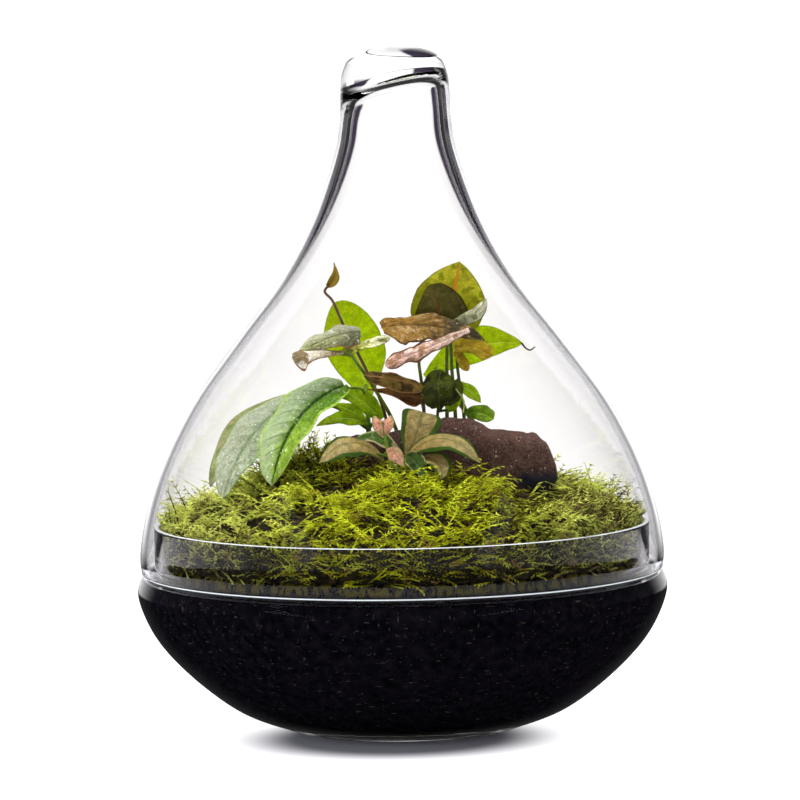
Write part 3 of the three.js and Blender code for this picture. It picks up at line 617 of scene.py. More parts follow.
def ground(surface: Surface, low: float, high: float) -> Surface:
    """Give the second finish to the faces that lie between two heights.

    Args:
        surface: The surface, which is changed.
        low: The lower height.
        high: The upper height.

    Returns:
        The same surface.
    """
    heights = surface.points[surface.faces][..., 2]
    inside = (heights.min(axis=1) >= low) & (heights.max(axis=1) <= high)
    surface.finish[inside] = 1
    return surface


def eased(corners: Sequence[tuple[float, float, float]], steps: int = 6) -> Array:
    """Round the corners of a profile.

    Each corner with a size e is replaced by the quadratic Bezier (1-t)^2 a + 2t(1-t) c + t^2 b, where a and b
    lie at the distance e from the corner c on its two edges.

    Args:
        corners: Radius, height and size of the rounding of each corner.
        steps: Pieces in each rounding.

    Returns:
        Rows of radius and height.
    """
    given = np.asarray(corners, float)
    rows: list[Array] = [given[:1, :2]]
    t = np.linspace(0, 1, steps + 1)[:, None]
    for before, here, after in zip(given[:-2], given[1:-1], given[2:]):
        if here[2] == 0:
            rows.append(here[None, :2])
            continue
        a = here[:2] + unit(before[:2] - here[:2]) * here[2]
        b = here[:2] + unit(after[:2] - here[:2]) * here[2]
        rows.append((1 - t) ** 2 * a + 2 * t * (1 - t) * here[:2] + t ** 2 * b)
    rows.append(given[-1:, :2])
    return np.vstack(rows)


def inset(profile: Array, wall: Array | float) -> Array:
    """Move a profile inward, square to itself, by a wall thickness."""
    along = unit(np.gradient(profile, axis=0))
    return profile + np.stack([-along[:, 1], along[:, 0]], axis=-1) * np.reshape(wall, (-1, 1))


# The bowl's outer side from its foot up, as radius and height
BOWL_SIDE = curve_through([(54, 0), (80, 10.5), (107, 32.5), (119.6, 49), (125.5, 66), (123.6, 72.4)], 10)


def bowl_inside(wall: float) -> Array:
    """Give the bowl's inner side at a distance from its outer side, from the floor up."""
    inner = inset(BOWL_SIDE, wall)
    return inner[inner[:, 1] > BOWL_FLOOR + 1]


@dataclass
class GlassBowl:
    """The round bowl on its foot ring, with a flat shoulder for the dome and an upright collar inside it."""

    sectors: int = 160
    shoulder: float = 122.0
    fillet: float = 2.0
    inner_fillet: float = 3.2
    finish: BlownGlass = field(default_factory=lambda: BlownGlass("bowl_blown_glass", Clearness.BOWL))
    edge: GroundEdge = field(default_factory=GroundEdge)

    def profile(self) -> Array:
        """Run from the underside's middle out over foot, side, shoulder and collar and back inside to the floor.

        Returns:
            Rows of radius and height.
        """
        inside = COLLAR_RADIUS - COLLAR_WALL
        lip = 0.95 * COLLAR_WALL / 2
        foot = [
            (0, FOOT_RECESS_DEPTH, 0), (FOOT_RECESS_RADIUS - 5, FOOT_RECESS_DEPTH, 2),
            (FOOT_RECESS_RADIUS, 0, 1.5), (FOOT_RADIUS, 0, 1.4),
        ]
        side = [(r, z, 0) for r, z in BOWL_SIDE[1:]]
        collar = [
            (self.shoulder, SEAT_Z, 1.0), (COLLAR_RADIUS + 0.1, SEAT_Z, self.fillet),
            (COLLAR_RADIUS, COLLAR_TOP_Z, lip), (inside, COLLAR_TOP_Z, lip), (inside, SEAT_Z, self.inner_fillet),
        ]
        inner = [(r, z, 0) for r, z in bowl_inside(BOWL_WALL)[::-1]]
        return eased([*foot, *side, *collar, *inner, (50, BOWL_FLOOR, 4), (0, BOWL_FLOOR, 0)])

    def build(self) -> Piece:
        """Make the bowl in place of its solid."""
        surface = ground(turned(self.profile(), self.sectors), COLLAR_TOP_Z - 0.45, COLLAR_TOP_Z)
        bowl = surface.piece("glass_bowl_clear", [material_of(self.finish), material_of(self.edge)], 50)
        return placed(bowl, "glass_bowl")


@dataclass
class GlassDome:
    """The drop-shaped dome, whose wall grows thick up the neck and whose cavity ends in a slanted ceiling.

    The ceiling rises by ceiling_slant times x inside the radius ceiling_reach, which sets in over the heights of
    ceiling_blend. The pairs of ceiling_fall are a radius and the ceiling's depth there under ceiling_z.
    """

    sectors: int = 160
    wall: float = 2.7
    neck_wall: float = 5.4
    neck_wall_from_z: float = 195.0
    neck_wall_to_z: float = 280.0
    cap: tuple[Pair, ...] = ((25.8, 301), (24.7, 310), (21, 317.3), (13, 321.1), (0, 322))
    ceiling_z: float = 307.5
    ceiling_slant: float = 0.2
    ceiling_reach: float = 22.5
    ceiling_blend: Pair = (282.0, 301.0)
    ceiling_fall: tuple[Pair, ...] = ((20, 11), (18.8, 6), (15.6, 2.5), (9, 0.6), (0, 0))
    rim_ease: float = 0.6
    finish: BlownGlass = field(default_factory=lambda: BlownGlass("dome_blown_glass", Clearness.DOME))
    edge: GroundEdge = field(default_factory=GroundEdge)

    def profile(self) -> Array:
        """Run from the cavity's top down its inside, round the rim and up the outside to the top.

        Returns:
            Rows of radius and height.
        """
        outer = curve_through([*DOME_SIDE, *self.cap], 7)
        side = np.array(DOME_SIDE, float)
        thick = smoothstep(self.neck_wall_from_z, self.neck_wall_to_z, side[:, 1])
        walls = self.wall + (self.neck_wall - self.wall) * thick
        ceiling = [(r, self.ceiling_z - drop) for r, drop in self.ceiling_fall]
        inner = curve_through([*inset(side, walls), *ceiling], 7)
        rim_z = SEAT_Z + GAP
        rim = [(inner[0, 0], rim_z, self.rim_ease), (DOME_SIDE[0][0], rim_z, self.rim_ease)]
        down = [(r, z, 0) for r, z in inner[::-1]]
        up = [(r, z, 0) for r, z in outer[1:]]
        return eased([*down, *rim, *up])

    def slanted(self, points: Array) -> Array:
        """Lift the cavity's ceiling by a share of x, so that it rises to the right.

        Args:
            points: All points of the dome.

        Returns:
            The moved points.
        """
        x, y, z = points.T
        inside = (z < self.ceiling_z + GAP) & (np.hypot(x, y) < self.ceiling_reach)
        lift = np.where(inside, self.ceiling_slant * x * smoothstep(*self.ceiling_blend, z), 0)
        return np.stack([x, y, z + lift], axis=-1)

    def build(self) -> Piece:
        """Make the dome in place of its solid."""
        surface = turned(self.profile(), self.sectors, self.slanted)
        surface = ground(surface, SEAT_Z, SEAT_Z + GAP + self.rim_ease)
        dome = surface.piece("glass_dome_clear", [material_of(self.finish), material_of(self.edge)], 50)
        return placed(dome, "glass_dome")


# Soil


def soil_top(radius: Array) -> Array:
    """Height of the soil: a dome of 1 - (r / R)^2 over its edge."""
    return SOIL_EDGE_Z + SOIL_RISE * (1 - (radius / COLLAR_RADIUS) ** 2)


@dataclass(frozen=True)
class PottingSoil:
    """Damp peat pressed to the glass: almost black with a cold violet cast, matt, with crumbs of 1 to 3 mm.

    Root hairs are about 0.5 mm wide and 5 mm long here, twice as wide as real ones, so that they can be seen.
    The two stretches of runs draw level and upright hairs. Bits of moss set in over the heights litter_from,
    in metres.
    """

    name: str = "damp_peat_soil"
    ramp: Ramp = ((0.35, "030305"), (0.5, "07060a"), (0.68, "0d0b10"))
    root: str = "352e2c"
    runs: tuple[Point, Point] = ((0.2, 0.2, 1.0), (1.0, 1.0, 0.18))
    litter: str = "3a350c"
    litter_from: Pair = (0.0745, 0.0775)

    def material(self) -> Material:
        """Mix dark crumbs, lighter crumbs and thin pale root hairs, with bits of moss along the top edge.

        Returns:
            The material.
        """
        made, tree = new_material(self.name)
        crumbs = object_noise(tree, 4.0, 5.0)
        colour = stops(tree, crumbs, self.ramp)
        hairs = (ranged(tree, object_noise(tree, 0.9, 1.0, run), 0.7, 0.76) for run in self.runs)
        colour = blended(tree, sum_of(tree, "MULTIPLY", sum_of(tree, "MAXIMUM", *hairs), 0.7), colour, self.root)
        fallen = ranged(tree, object_noise(tree, 2.6, 3.0, (1.0, 1.0, 0.5)), 0.42, 0.58)
        edge = ranged(tree, object_axes(tree)[2], *self.litter_from)
        colour = blended(tree, sum_of(tree, "MULTIPLY", edge, fallen), colour, self.litter)
        bump = add_node(tree, "Bump", {"Height": crumbs, "Strength": 0.7, "Distance": 0.0015})
        surface = add_node(tree, "BsdfPrincipled", {
            "Base Color": colour, "Roughness": 0.9, "Specular IOR Level": 0.0, "Normal": bump.outputs[0],
        })
        return finished(made, surface)


@dataclass
class Soil:
    """The filling of damp peat, wet against the bowl's glass and mounded under the moss.

    Its side reaches into the bowl's inner surface by press, so that no air shows between wet peat and glass.
    """

    sectors: int = 180
    crumb: float = 0.9
    fine_crumb: float = 0.35
    press: float = 0.12
    finish: PottingSoil = field(default_factory=PottingSoil)

    def profile(self) -> Array:
        """Run from the underside's middle up the bowl's inside and over the mound to the axis.

        Returns:
            Rows of radius and height.
        """
        side = [(r, z, 0) for r, z in bowl_inside(BOWL_WALL - self.press)]
        radii = np.linspace(BED_WALL, 0, 34)
        top = [(r, soil_top(r), 0) for r in radii[1:]]
        return eased([
            (0, BOWL_FLOOR + GAP, 0), (25, BOWL_FLOOR + GAP, 0), (50, BOWL_FLOOR + GAP, 2), *side,
            (BED_WALL + 2.2, SEAT_Z - 1.8, 0), (BED_WALL, SEAT_Z + 1, 0), (BED_WALL, SOIL_EDGE_Z, 0), *top,
        ])

    def crumbled(self, points: Array) -> Array:
        """Pull the points above the shoulder toward the filling's middle by noise, so that crumbs show.

        Args:
            points: All points of the filling.

        Returns:
            The moved points.
        """
        depth = self.crumb * (1 + smooth_noise(points, 5.0, 3)) + self.fine_crumb * (1 + smooth_noise(points, 2.2, 4))
        depth = depth * smoothstep(SEAT_Z - 4, SEAT_Z + 2, points[:, 2])
        middle = np.array([0, 0, 45.0])
        return points + unit(middle - points) * depth[:, None]

    def build(self) -> Piece:
        """Make the soil in place of its solid."""
        soil = turned(self.profile(), self.sectors, self.crumbled)
        return placed(soil.piece("soil_filling", [material_of(self.finish)]), "soil")


# Moss


def moss_top(x: Array, y: Array) -> Array:
    """Height of the moss: a mound of 1 - (r / R)^2.8 with low cushions made of sines, faded at the wall."""
    radius = np.hypot(x, y)
    mound = MOSS_EDGE_Z + MOSS_RISE * (1 - (radius / COLLAR_RADIUS) ** MOSS_SHOULDER)
    lumps = np.sin(x * 0.19 + 1.3) * np.cos(y * 0.17 - 0.4) + 0.6 * np.sin(x * 0.33 - y * 0.29)
    return mound + MOSS_LUMP * lumps * smoothstep(0, 14, COLLAR_RADIUS - radius)


@dataclass(frozen=True)
class FeatherMoss:
    """Living sheet moss: matt, thin leaflets, yellow-green at their tips and brown toward their roots. The brown is
    partly old growth and partly painted shade in the carpet's depths, and the bright tips are partly painted light.

    The carpet has lighter patches and dry straw-coloured ones, and is paler at its left and right sides.
    """

    name: str = "feather_moss"
    ramp: Ramp = ((0.08, "1c120b"), (0.34, "4c490a"), (0.58, "a2a60a"), (0.86, "d9e236"))
    patch_size: float = 16.0
    straw: str = "8a6c38"
    dry_size: float = 6.0
    pale: float = 0.82
    glow: float = 0.4

    def material(self) -> Material:
        """Colour by the UV: u is a shoot's own tone, v runs from its root to its tip.

        The scale of tones is (v + 0.9 patch - 0.25 + 0.75 u - 0.3) / 1.4, with noise for the patch.

        Returns:
            The material.
        """
        made, tree = new_material(self.name)
        uv = uv_axes(tree)
        patch = sum_of(tree, "MULTIPLY_ADD", object_noise(tree, self.patch_size), 0.9, -0.25)
        # Tones rise from root to tip, partly the moss's own colour and partly painted shade and light.
        tone = sum_of(tree, "ADD", sum_of(tree, "ADD", uv[1], patch), sum_of(tree, "MULTIPLY", uv[0], 0.75))
        level = sum_of(tree, "DIVIDE", sum_of(tree, "SUBTRACT", tone, 0.3), 1.4)
        dry = ranged(tree, object_noise(tree, self.dry_size), 0.56, 0.66)
        colour = blended(tree, sum_of(tree, "MULTIPLY", dry, 0.75), stops(tree, level, self.ramp), self.straw)
        aside = ranged(tree, sum_of(tree, "ABSOLUTE", object_axes(tree)[0]), 0.03, 0.09, (1.0, self.pale))
        colour = add_node(tree, "HueSaturation", {"Saturation": aside, "Color": colour}).outputs[0]
        matt = {"Base Color": colour, "Roughness": 0.9, "Specular IOR Level": 0.0}
        return finished(made, leafy(tree, add_node(tree, "BsdfPrincipled", matt), colour, self.glow))


@dataclass(frozen=True)
class MossLitter:
    """The dead brown mat that the shoots stand in: old stems and crumbs, matt and dark."""

    name: str = "moss_litter"
    ramp: Ramp = ((0.3, "0b0906"), (0.5, "1a180c"), (0.62, "2e2814"), (0.8, "45382a"))

    def material(self) -> Material:
        """Mix olive and brown by noise of the size of old stems.

        Returns:
            The material.
        """
        made, tree = new_material(self.name)
        strands = object_noise(tree, 3.0, 6.0, (1, 1, 2.2))
        colour = stops(tree, strands, self.ramp)
        bump = add_node(tree, "Bump", {"Height": strands, "Strength": 0.9, "Distance": 0.002})
        surface = add_node(tree, "BsdfPrincipled", {
            "Base Color": colour, "Roughness": 0.9, "Specular IOR Level": 0.2, "Normal": bump.outputs[0],
        })
        return finished(made, surface)


@dataclass
class Shoots:
    """Feather shoots by the thousand, as arrays with one entry for each shoot.

    Attributes:
        root: Where each shoot starts.
        heading: The direction in plan that it grows in, in radians.
        rise: How steeply it starts, in radians over the level.
        bend: How much its steepness changes to its tip.
        curl: How much its heading changes to its tip.
        length: Length along the stem.
        tone: A number from 0 to 1 for its colour.
    """

    root: Array
    heading: Array
    rise: Array
    bend: Array
    curl: Array
    length: Array
    tone: Array

    def __len__(self) -> int:
        """Count the shoots."""
        return len(self.root)

    def picked(self, chosen: Array) -> "Shoots":
        """Keep some of the shoots."""
        return Shoots(*(getattr(self, name)[chosen] for name in self.__dataclass_fields__))

    @classmethod
    def together(cls, groups: Sequence["Shoots"]) -> "Shoots":
        """Put groups of shoots into one."""
        return cls(*(np.concatenate([getattr(g, name) for g in groups]) for name in cls.__dataclass_fields__))

    def surface(self, rng: np.random.Generator, segments: int = 6, leaflet: float = 3.3) -> Surface:
        """Build each shoot as a three-sided stem with a pair of pointed leaflets at each node.

        The stem's direction has the steepness rise + bend t and the heading + curl t, and its points are the
        running sum of the directions. A leaflet is a slim tetrahedron whose foot lies on the stem and whose
        tip points forward and out by about 50 degrees. Leaflets are longest past the middle of the shoot.

        Args:
            rng: Draws the leaflets' small differences.
            segments: Nodes on a shoot.
            leaflet: Length of the longest leaflets.

        Returns:
            The surface of all shoots.
        """
        count = len(self)
        t = (np.arange(segments) + 0.5) / segments
        steep = self.rise[:, None] + self.bend[:, None] * t
        heading = self.heading[:, None] + self.curl[:, None] * t
        level = np.cos(steep)
        along = np.stack([level * np.cos(heading), level * np.sin(heading), np.sin(steep)], axis=-1)
        steps = along * (self.length[:, None] / segments)[..., None]
        path = self.root[:, None] + np.pad(np.cumsum(steps, axis=1), ((0, 0), (1, 0), (0, 0)))
        side = np.stack([-np.sin(heading), np.cos(heading), np.zeros_like(heading)], axis=-1)
        roll = rng.uniform(-0.7, 0.7, (count, 1, 1))
        side = side * np.cos(roll) + np.cross(along, side) * np.sin(roll)
        over = np.cross(along, side)
        return Surface.joined([
            self.stems(path, side, over), self.leaflets(path[:, 1:], along, side, over, t, rng, leaflet)])

    def stems(self, path: Array, side: Array, over: Array, thick: float = 0.42) -> Surface:
        """Give each shoot a three-sided stem that thins to a quarter at its tip.

        Args:
            path: Points along each shoot, with a ring of the stem at every other one.
            side: Directions across each shoot.
            over: Directions square to both.
            thick: Radius at the root.

        Returns:
            The stems.
        """
        count, segments = side.shape[:2]
        nodes = np.arange(0, segments + 1, 2)
        share = nodes / segments
        radius = (thick * (1 - 0.75 * share))[None, :, None, None]
        angle = 2 * math.pi * np.arange(3) / 3
        hold = np.minimum(nodes, segments - 1)
        ring = side[:, hold, None] * np.cos(angle)[:, None] + over[:, hold, None] * np.sin(angle)[:, None]
        points = path[:, nodes, None] + ring * radius
        levels = len(nodes)
        end = 3 * levels - 1
        base = np.vstack([grid_faces(levels, 3), [[0, 1, 2, 2], [end, end - 1, end - 2, end - 2]]])
        faces = base[None] + (np.arange(count) * 3 * levels)[:, None, None]
        uv = np.empty((count, levels, 3, 2))
        uv[..., 0] = self.tone[:, None, None]
        uv[..., 1] = 0.75 * share[None, :, None]
        return Surface.of(points, faces, uv)

    def leaflets(
        self, nodes: Array, along: Array, side: Array, over: Array, t: Array, rng: np.random.Generator,
        longest: float, width: float = 0.5,
    ) -> Surface:
        """Set a pair of pointed leaflets at each node of each shoot.

        Args:
            nodes: Points that carry the leaflets.
            along: The shoot's directions there.
            side: Directions across it.
            over: Directions square to both.
            t: Where on the shoot the nodes are, from 0 to 1.
            rng: Draws the leaflets' small differences.
            longest: Length of the longest leaflets.
            width: Half of a leaflet's width at its foot.

        Returns:
            The leaflets.
        """
        pairs = (*along.shape[:2], 2, 1)
        foot = nodes[:, :, None]
        hand = np.array([-1.0, 1.0])[None, None, :, None]
        spread, lift = rng.uniform(0.6, 1.15, pairs), rng.uniform(-0.1, 0.45, pairs)
        forward, outward, upward = along[:, :, None], side[:, :, None] * hand, over[:, :, None]
        way = unit(forward * np.cos(spread) + outward * np.sin(spread) - upward * lift)
        profile = (np.sin(math.pi * (0.12 + 0.8 * t)) ** 0.7)[None, :, None, None]
        scale = np.clip(self.length / 14.0, 0.55, 1.25)[:, None, None, None]
        tip = foot + way * (longest * profile * scale * rng.uniform(0.7, 1.2, pairs))
        corners = (foot - forward * width, foot + forward * width, foot - upward * width * 0.8)
        points = np.stack([*(np.broadcast_to(corner, tip.shape) for corner in corners), tip], axis=3)
        base = np.array([[0, 1, 3, 3], [1, 2, 3, 3], [2, 0, 3, 3], [0, 2, 1, 1]])
        faces = base[None] + (np.arange(tip[..., 0].size) * 4)[:, None, None]
        uv = np.empty((*points.shape[:-1], 2))
        uv[..., 0] = self.tone[:, None, None, None]
        uv[..., 1] = 0.25 + 0.6 * t[None, :, None, None]
        uv[..., 3, 1] += 0.25
        return Surface.of(points, faces, uv)


@dataclass
class Moss:
    """A mound of sheet moss: a dark litter mat with thousands of feather shoots on its top and at the collar.

    Shoots are 7 to 21 mm long with leaflets of about 3 mm, three times as coarse as real ones. None stands in
    the stone, within stone_x and stone_y.
    """

    shoots_on_top: int = 5700
    shoots_at_wall: int = 2600
    shoots_in_tuft: int = 420
    stone_x: Pair = (-36, 72)
    stone_y: Pair = (-17, 3)
    seed: int = 11
    finish: FeatherMoss = field(default_factory=FeatherMoss)
    litter: MossLitter = field(default_factory=MossLitter)

    def mat(self) -> Surface:
        """Build the litter mat: the mound's top, lowered and roughened by noise, over the soil's top.

        Returns:
            The mat, with a dip before the stone's right end.
        """
        radii = np.linspace(0, BED_WALL, 50)
        top = [(r, moss_top(r, 0 * r), 0) for r in radii]
        under = [(r, soil_top(r) + GAP, 0) for r in radii[::-1]]
        mound = turned(eased([*under[::-1], *top[::-1]]), 160)
        points = mound.points
        x, y = points[:, 0], points[:, 1]
        radius = np.hypot(x, y)
        lowest = soil_top(radius) + 2 * GAP
        rough = 1.4 * smooth_noise(points, 7.0, 21) + 0.8 * smooth_noise(points, 3.0, 22) - 2.6
        dip = within(x, (32, 44), (74, 84)) * within(y, (-46, -34), (4, 12))
        height = np.maximum(moss_top(x, y) + rough - 3.0 * dip, lowest)
        points[:, 2] = np.where(points[:, 2] > lowest, height, points[:, 2])
        shrink = 1 - 0.012 * (1 + smooth_noise(points, 4.0, 23))
        points[:, :2] *= np.where(radius > 60, shrink, 1)[:, None]
        return mound

    def top_shoots(self, rng: np.random.Generator) -> Shoots:
        """Scatter shoots over the mound by the golden angle, each in a patch that leans its own way.

        Cushions of noise stand higher and, by painted light and shade, lighter than the sunk gaps between them.
        Shoots before the stone are short and sunk, so painted shade darkens them; shoots under the front leaves
        stand up. Tones are also lighter at the left and darker at the right.

        Args:
            rng: Draws the shoots' differences.

        Returns:
            The shoots.
        """
        count = self.shoots_on_top
        number = np.arange(count) + 0.5
        radius = (BED_WALL - 3) * np.sqrt(number / count)
        angle = number * math.pi * (3 - math.sqrt(5)) + rng.uniform(-0.4, 0.4, count) / np.maximum(radius / 20, 0.3)
        x, y = radius * np.cos(angle), radius * np.sin(angle)
        flat = np.stack([x, y, 0 * x], axis=-1)
        swirl = 3.0 * smooth_noise(flat, 24.0, 31) + 1.3 * smooth_noise(flat, 9.0, 32)
        heading = swirl * 1.6 + rng.normal(0, 0.5, count)
        near_wall = smoothstep(BED_WALL - 16, BED_WALL - 2, radius)
        tangent = self.tangent(rng, angle)
        heading = np.where(rng.random(count) < near_wall, tangent + rng.normal(0, 0.35, count), heading)
        clump = 0.65 * smooth_noise(flat, 20.0, 33) + 0.55 * smooth_noise(flat, 8.0, 34)
        at_left, at_right = smoothstep(-20, -80, x), smoothstep(20, 80, x)
        before_stone = within(x, (34, 46), (72, 82)) * smoothstep(-48, -36, y) * (y < 0)
        under_leaves = within(x, (-48, -38), (8, 20)) * smoothstep(-48, -38, y) * (y < 0)
        sunk = rng.uniform(2.0, 7.8, count) - 4.0 * clump + 4.0 * before_stone - 2.5 * under_leaves
        # Painted light and shade: tones rise on high cushions and fall on sunk shoots; they also rise to the left.
        painted_light = 0.45 + 1.0 * clump - 0.16 * (sunk - 4.6) + 0.8 * at_left - 0.45 * at_right
        tone = np.clip(painted_light + rng.uniform(-0.25, 0.25, count), 0, 1)
        return Shoots(
            np.stack([x, y, moss_top(x, y) - sunk], axis=-1), heading, rise=rng.uniform(0.1, 0.85, count),
            bend=rng.uniform(-1.1, 0.0, count), curl=rng.normal(0, 0.8, count),
            length=rng.uniform(10, 21, count) * (1 - 0.45 * before_stone), tone=tone)

    @staticmethod
    def tangent(rng: np.random.Generator, angle: Array) -> Array:
        """Turn each place's angle a quarter turn to one side or the other, by chance."""
        return angle + np.where(rng.random(len(angle)) < 0.5, 0.5, -0.5) * math.pi

    def tuft(self, rng: np.random.Generator) -> Shoots:
        """Stand taller shoots round the stone's left end, behind and between the big leaves, in tones of painted
        shade.

        Args:
            rng: Draws the shoots' places and differences.

        Returns:
            The shoots.
        """
        count = self.shoots_in_tuft
        x, y = rng.uniform(-64, -6, count), rng.uniform(-26, 14, count)
        sunk = rng.uniform(-4, 4, count)
        height = moss_top(x, y) - sunk - 4 * smoothstep(-46, -64, x) - 6 * smoothstep(-30, -10, x)
        # Their low tones are painted shade under the big leaves.
        return Shoots(
            np.stack([x, y, height], axis=-1), rng.uniform(-math.pi, math.pi, count),
            rise=rng.uniform(0.8, 1.5, count), bend=rng.uniform(-0.9, -0.1, count), curl=rng.normal(0, 0.8, count),
            length=rng.uniform(10, 19, count), tone=rng.uniform(0, 0.55, count))

    def wall_shoots(self, rng: np.random.Generator) -> Shoots:
        """Press shoots against the inside of the collar, where the bed shows its side.

        Args:
            rng: Draws the shoots' places and differences.

        Returns:
            The shoots.
        """
        count = self.shoots_at_wall
        angle = rng.uniform(0, 2 * math.pi, count)
        low = SOIL_EDGE_Z + 1
        z = low + (MOSS_EDGE_Z - low - 1) * rng.random(count) ** 0.8
        radius = BED_WALL - rng.uniform(0.8, 3.0, count)
        root = np.stack([radius * np.cos(angle), radius * np.sin(angle), z], axis=-1)
        # Their tones stay low: partly brown old growth, partly painted shade under the collar.
        return Shoots(
            root, self.tangent(rng, angle) + rng.normal(0, 0.15, count), rise=rng.uniform(-0.2, 1.2, count),
            bend=rng.uniform(-0.8, 0.3, count), curl=rng.normal(0, 0.3, count),
            length=rng.uniform(7, 14, count), tone=rng.random(count) * 0.65)

    def sprigs(self) -> Shoots:
        """Stand a few long loose sprigs up at the left, beside the stone and at the right wall.

        Returns:
            The sprigs.
        """
        x, y, rise, length, heading = np.array([
            (-104, -24, 1.35, 24, 2.6), (-99, -30, 1.1, 19, 2.2), (-93, -36, 1.25, 15, 0.4),
            (84, -20, 1.2, 15, 0.6), (91, -25, 1.45, 21, 2.9), (95, -30, 1.2, 17, 0.3), (99, -24, 1.0, 15, 2.4),
            (103, -28, 1.3, 14, 0.8), (87, -34, 1.0, 13, 1.5),
        ]).T
        return Shoots(
            np.stack([x, y, moss_top(x, y) - 2], axis=-1), heading, rise, bend=np.full(len(x), -0.25),
            curl=np.full(len(x), 0.3), length=length, tone=np.linspace(0.3, 0.9, len(x)))

    @staticmethod
    def kept_inside(points: Array) -> Array:
        """Bring stray tips back inside the collar, or inside the dome over it.

        Args:
            points: All points of the shoots.

        Returns:
            The moved points.
        """
        radius = np.hypot(points[:, 0], points[:, 1])
        dome = np.interp(points[:, 2], [z for _, z in DOME_SIDE], [r - 4 for r, _ in DOME_SIDE])
        limit = np.where(points[:, 2] < COLLAR_TOP_Z + 4, BED_WALL - 0.1, dome)
        scale = np.minimum(1, limit / np.maximum(radius, 1e-6))
        return points * np.stack([scale, scale, np.ones_like(scale)], axis=-1)

    def build(self) -> list[Piece]:
        """Make the mat and four quarters of shoots in place of the solid.

        Returns:
            The five pieces.
        """
        rng = np.random.default_rng(self.seed)
        mat = self.mat().piece("moss_litter_mat", [material_of(self.litter)])
        pieces = [placed(mat, "moss_carpet")]
        shoots = Shoots.together([self.top_shoots(rng), self.wall_shoots(rng), self.tuft(rng), self.sprigs()])
        x, y = shoots.root[:, 0], shoots.root[:, 1]
        (left, right), (front, back) = self.stone_x, self.stone_y
        in_stone = (x > left) & (x < right) & (y > front) & (y < back)
        shoots = shoots.picked(~in_stone)
        quarter = np.round(np.arctan2(shoots.root[:, 1], shoots.root[:, 0]) / (math.pi / 2)).astype(int) % 4
        for number, name in enumerate(("right", "back", "left", "front")):
            surface = shoots.picked(quarter == number).surface(rng)
            surface.points = self.kept_inside(surface.points)
            piece = surface.piece(f"moss_shoots_{name}", [material_of(self.finish)])
            pieces.append(placed(piece, "moss_carpet"))
        return pieces


# Stone


@dataclass(frozen=True)
class GranularStone:
    """Coarse dark porphyry: matt red-brown grains of about 1 mm with pale specks, and a painted shade in one corner.

    The painted shade darkens the lower right corner blue-black; it sets in over the heights painted_shade_top and
    the x of painted_shade_left, in metres.
    """

    name: str = "granular_stone"
    ramp: Ramp = ((0.34, "2a1b16"), (0.5, "402d27"), (0.66, "4c372e"))
    grain: float = 1.2
    speck: str = "b3a19a"
    # Colour of the painted shade in the lower right corner.
    corner: str = "1b1c26"
    painted_shade_top: Pair = (0.118, 0.112)
    painted_shade_left: Pair = (0.060, 0.064)

    def material(self) -> Material:
        """Mix grains by noise, set pale specks and paint shade blue-black into the lower right corner.

        Returns:
            The material.
        """
        made, tree = new_material(self.name)
        grains = object_noise(tree, self.grain, 5.0)
        specks = ranged(tree, object_noise(tree, 1.0, 0.0), 0.76, 0.82)
        colour = blended(tree, sum_of(tree, "MULTIPLY", specks, 0.6), stops(tree, grains, self.ramp), self.speck)
        # Painted shade: the lower right corner is darkened blue-black.
        x, _, z = object_axes(tree)
        drift = sum_of(tree, "MULTIPLY", object_noise(tree, 8.0), 0.012)
        low = ranged(tree, sum_of(tree, "SUBTRACT", z, drift), *self.painted_shade_top)
        right = ranged(tree, sum_of(tree, "ADD", x, drift), *self.painted_shade_left)
        colour = blended(tree, sum_of(tree, "MULTIPLY", low, right), colour, self.corner)
        bump = add_node(tree, "Bump", {"Height": grains, "Strength": 0.6, "Distance": 0.0009})
        surface = add_node(tree, "BsdfPrincipled", {
            "Base Color": colour, "Roughness": 0.8, "Specular IOR Level": 0.3, "Normal": bump.outputs[0],
        })
        return finished(made, surface)


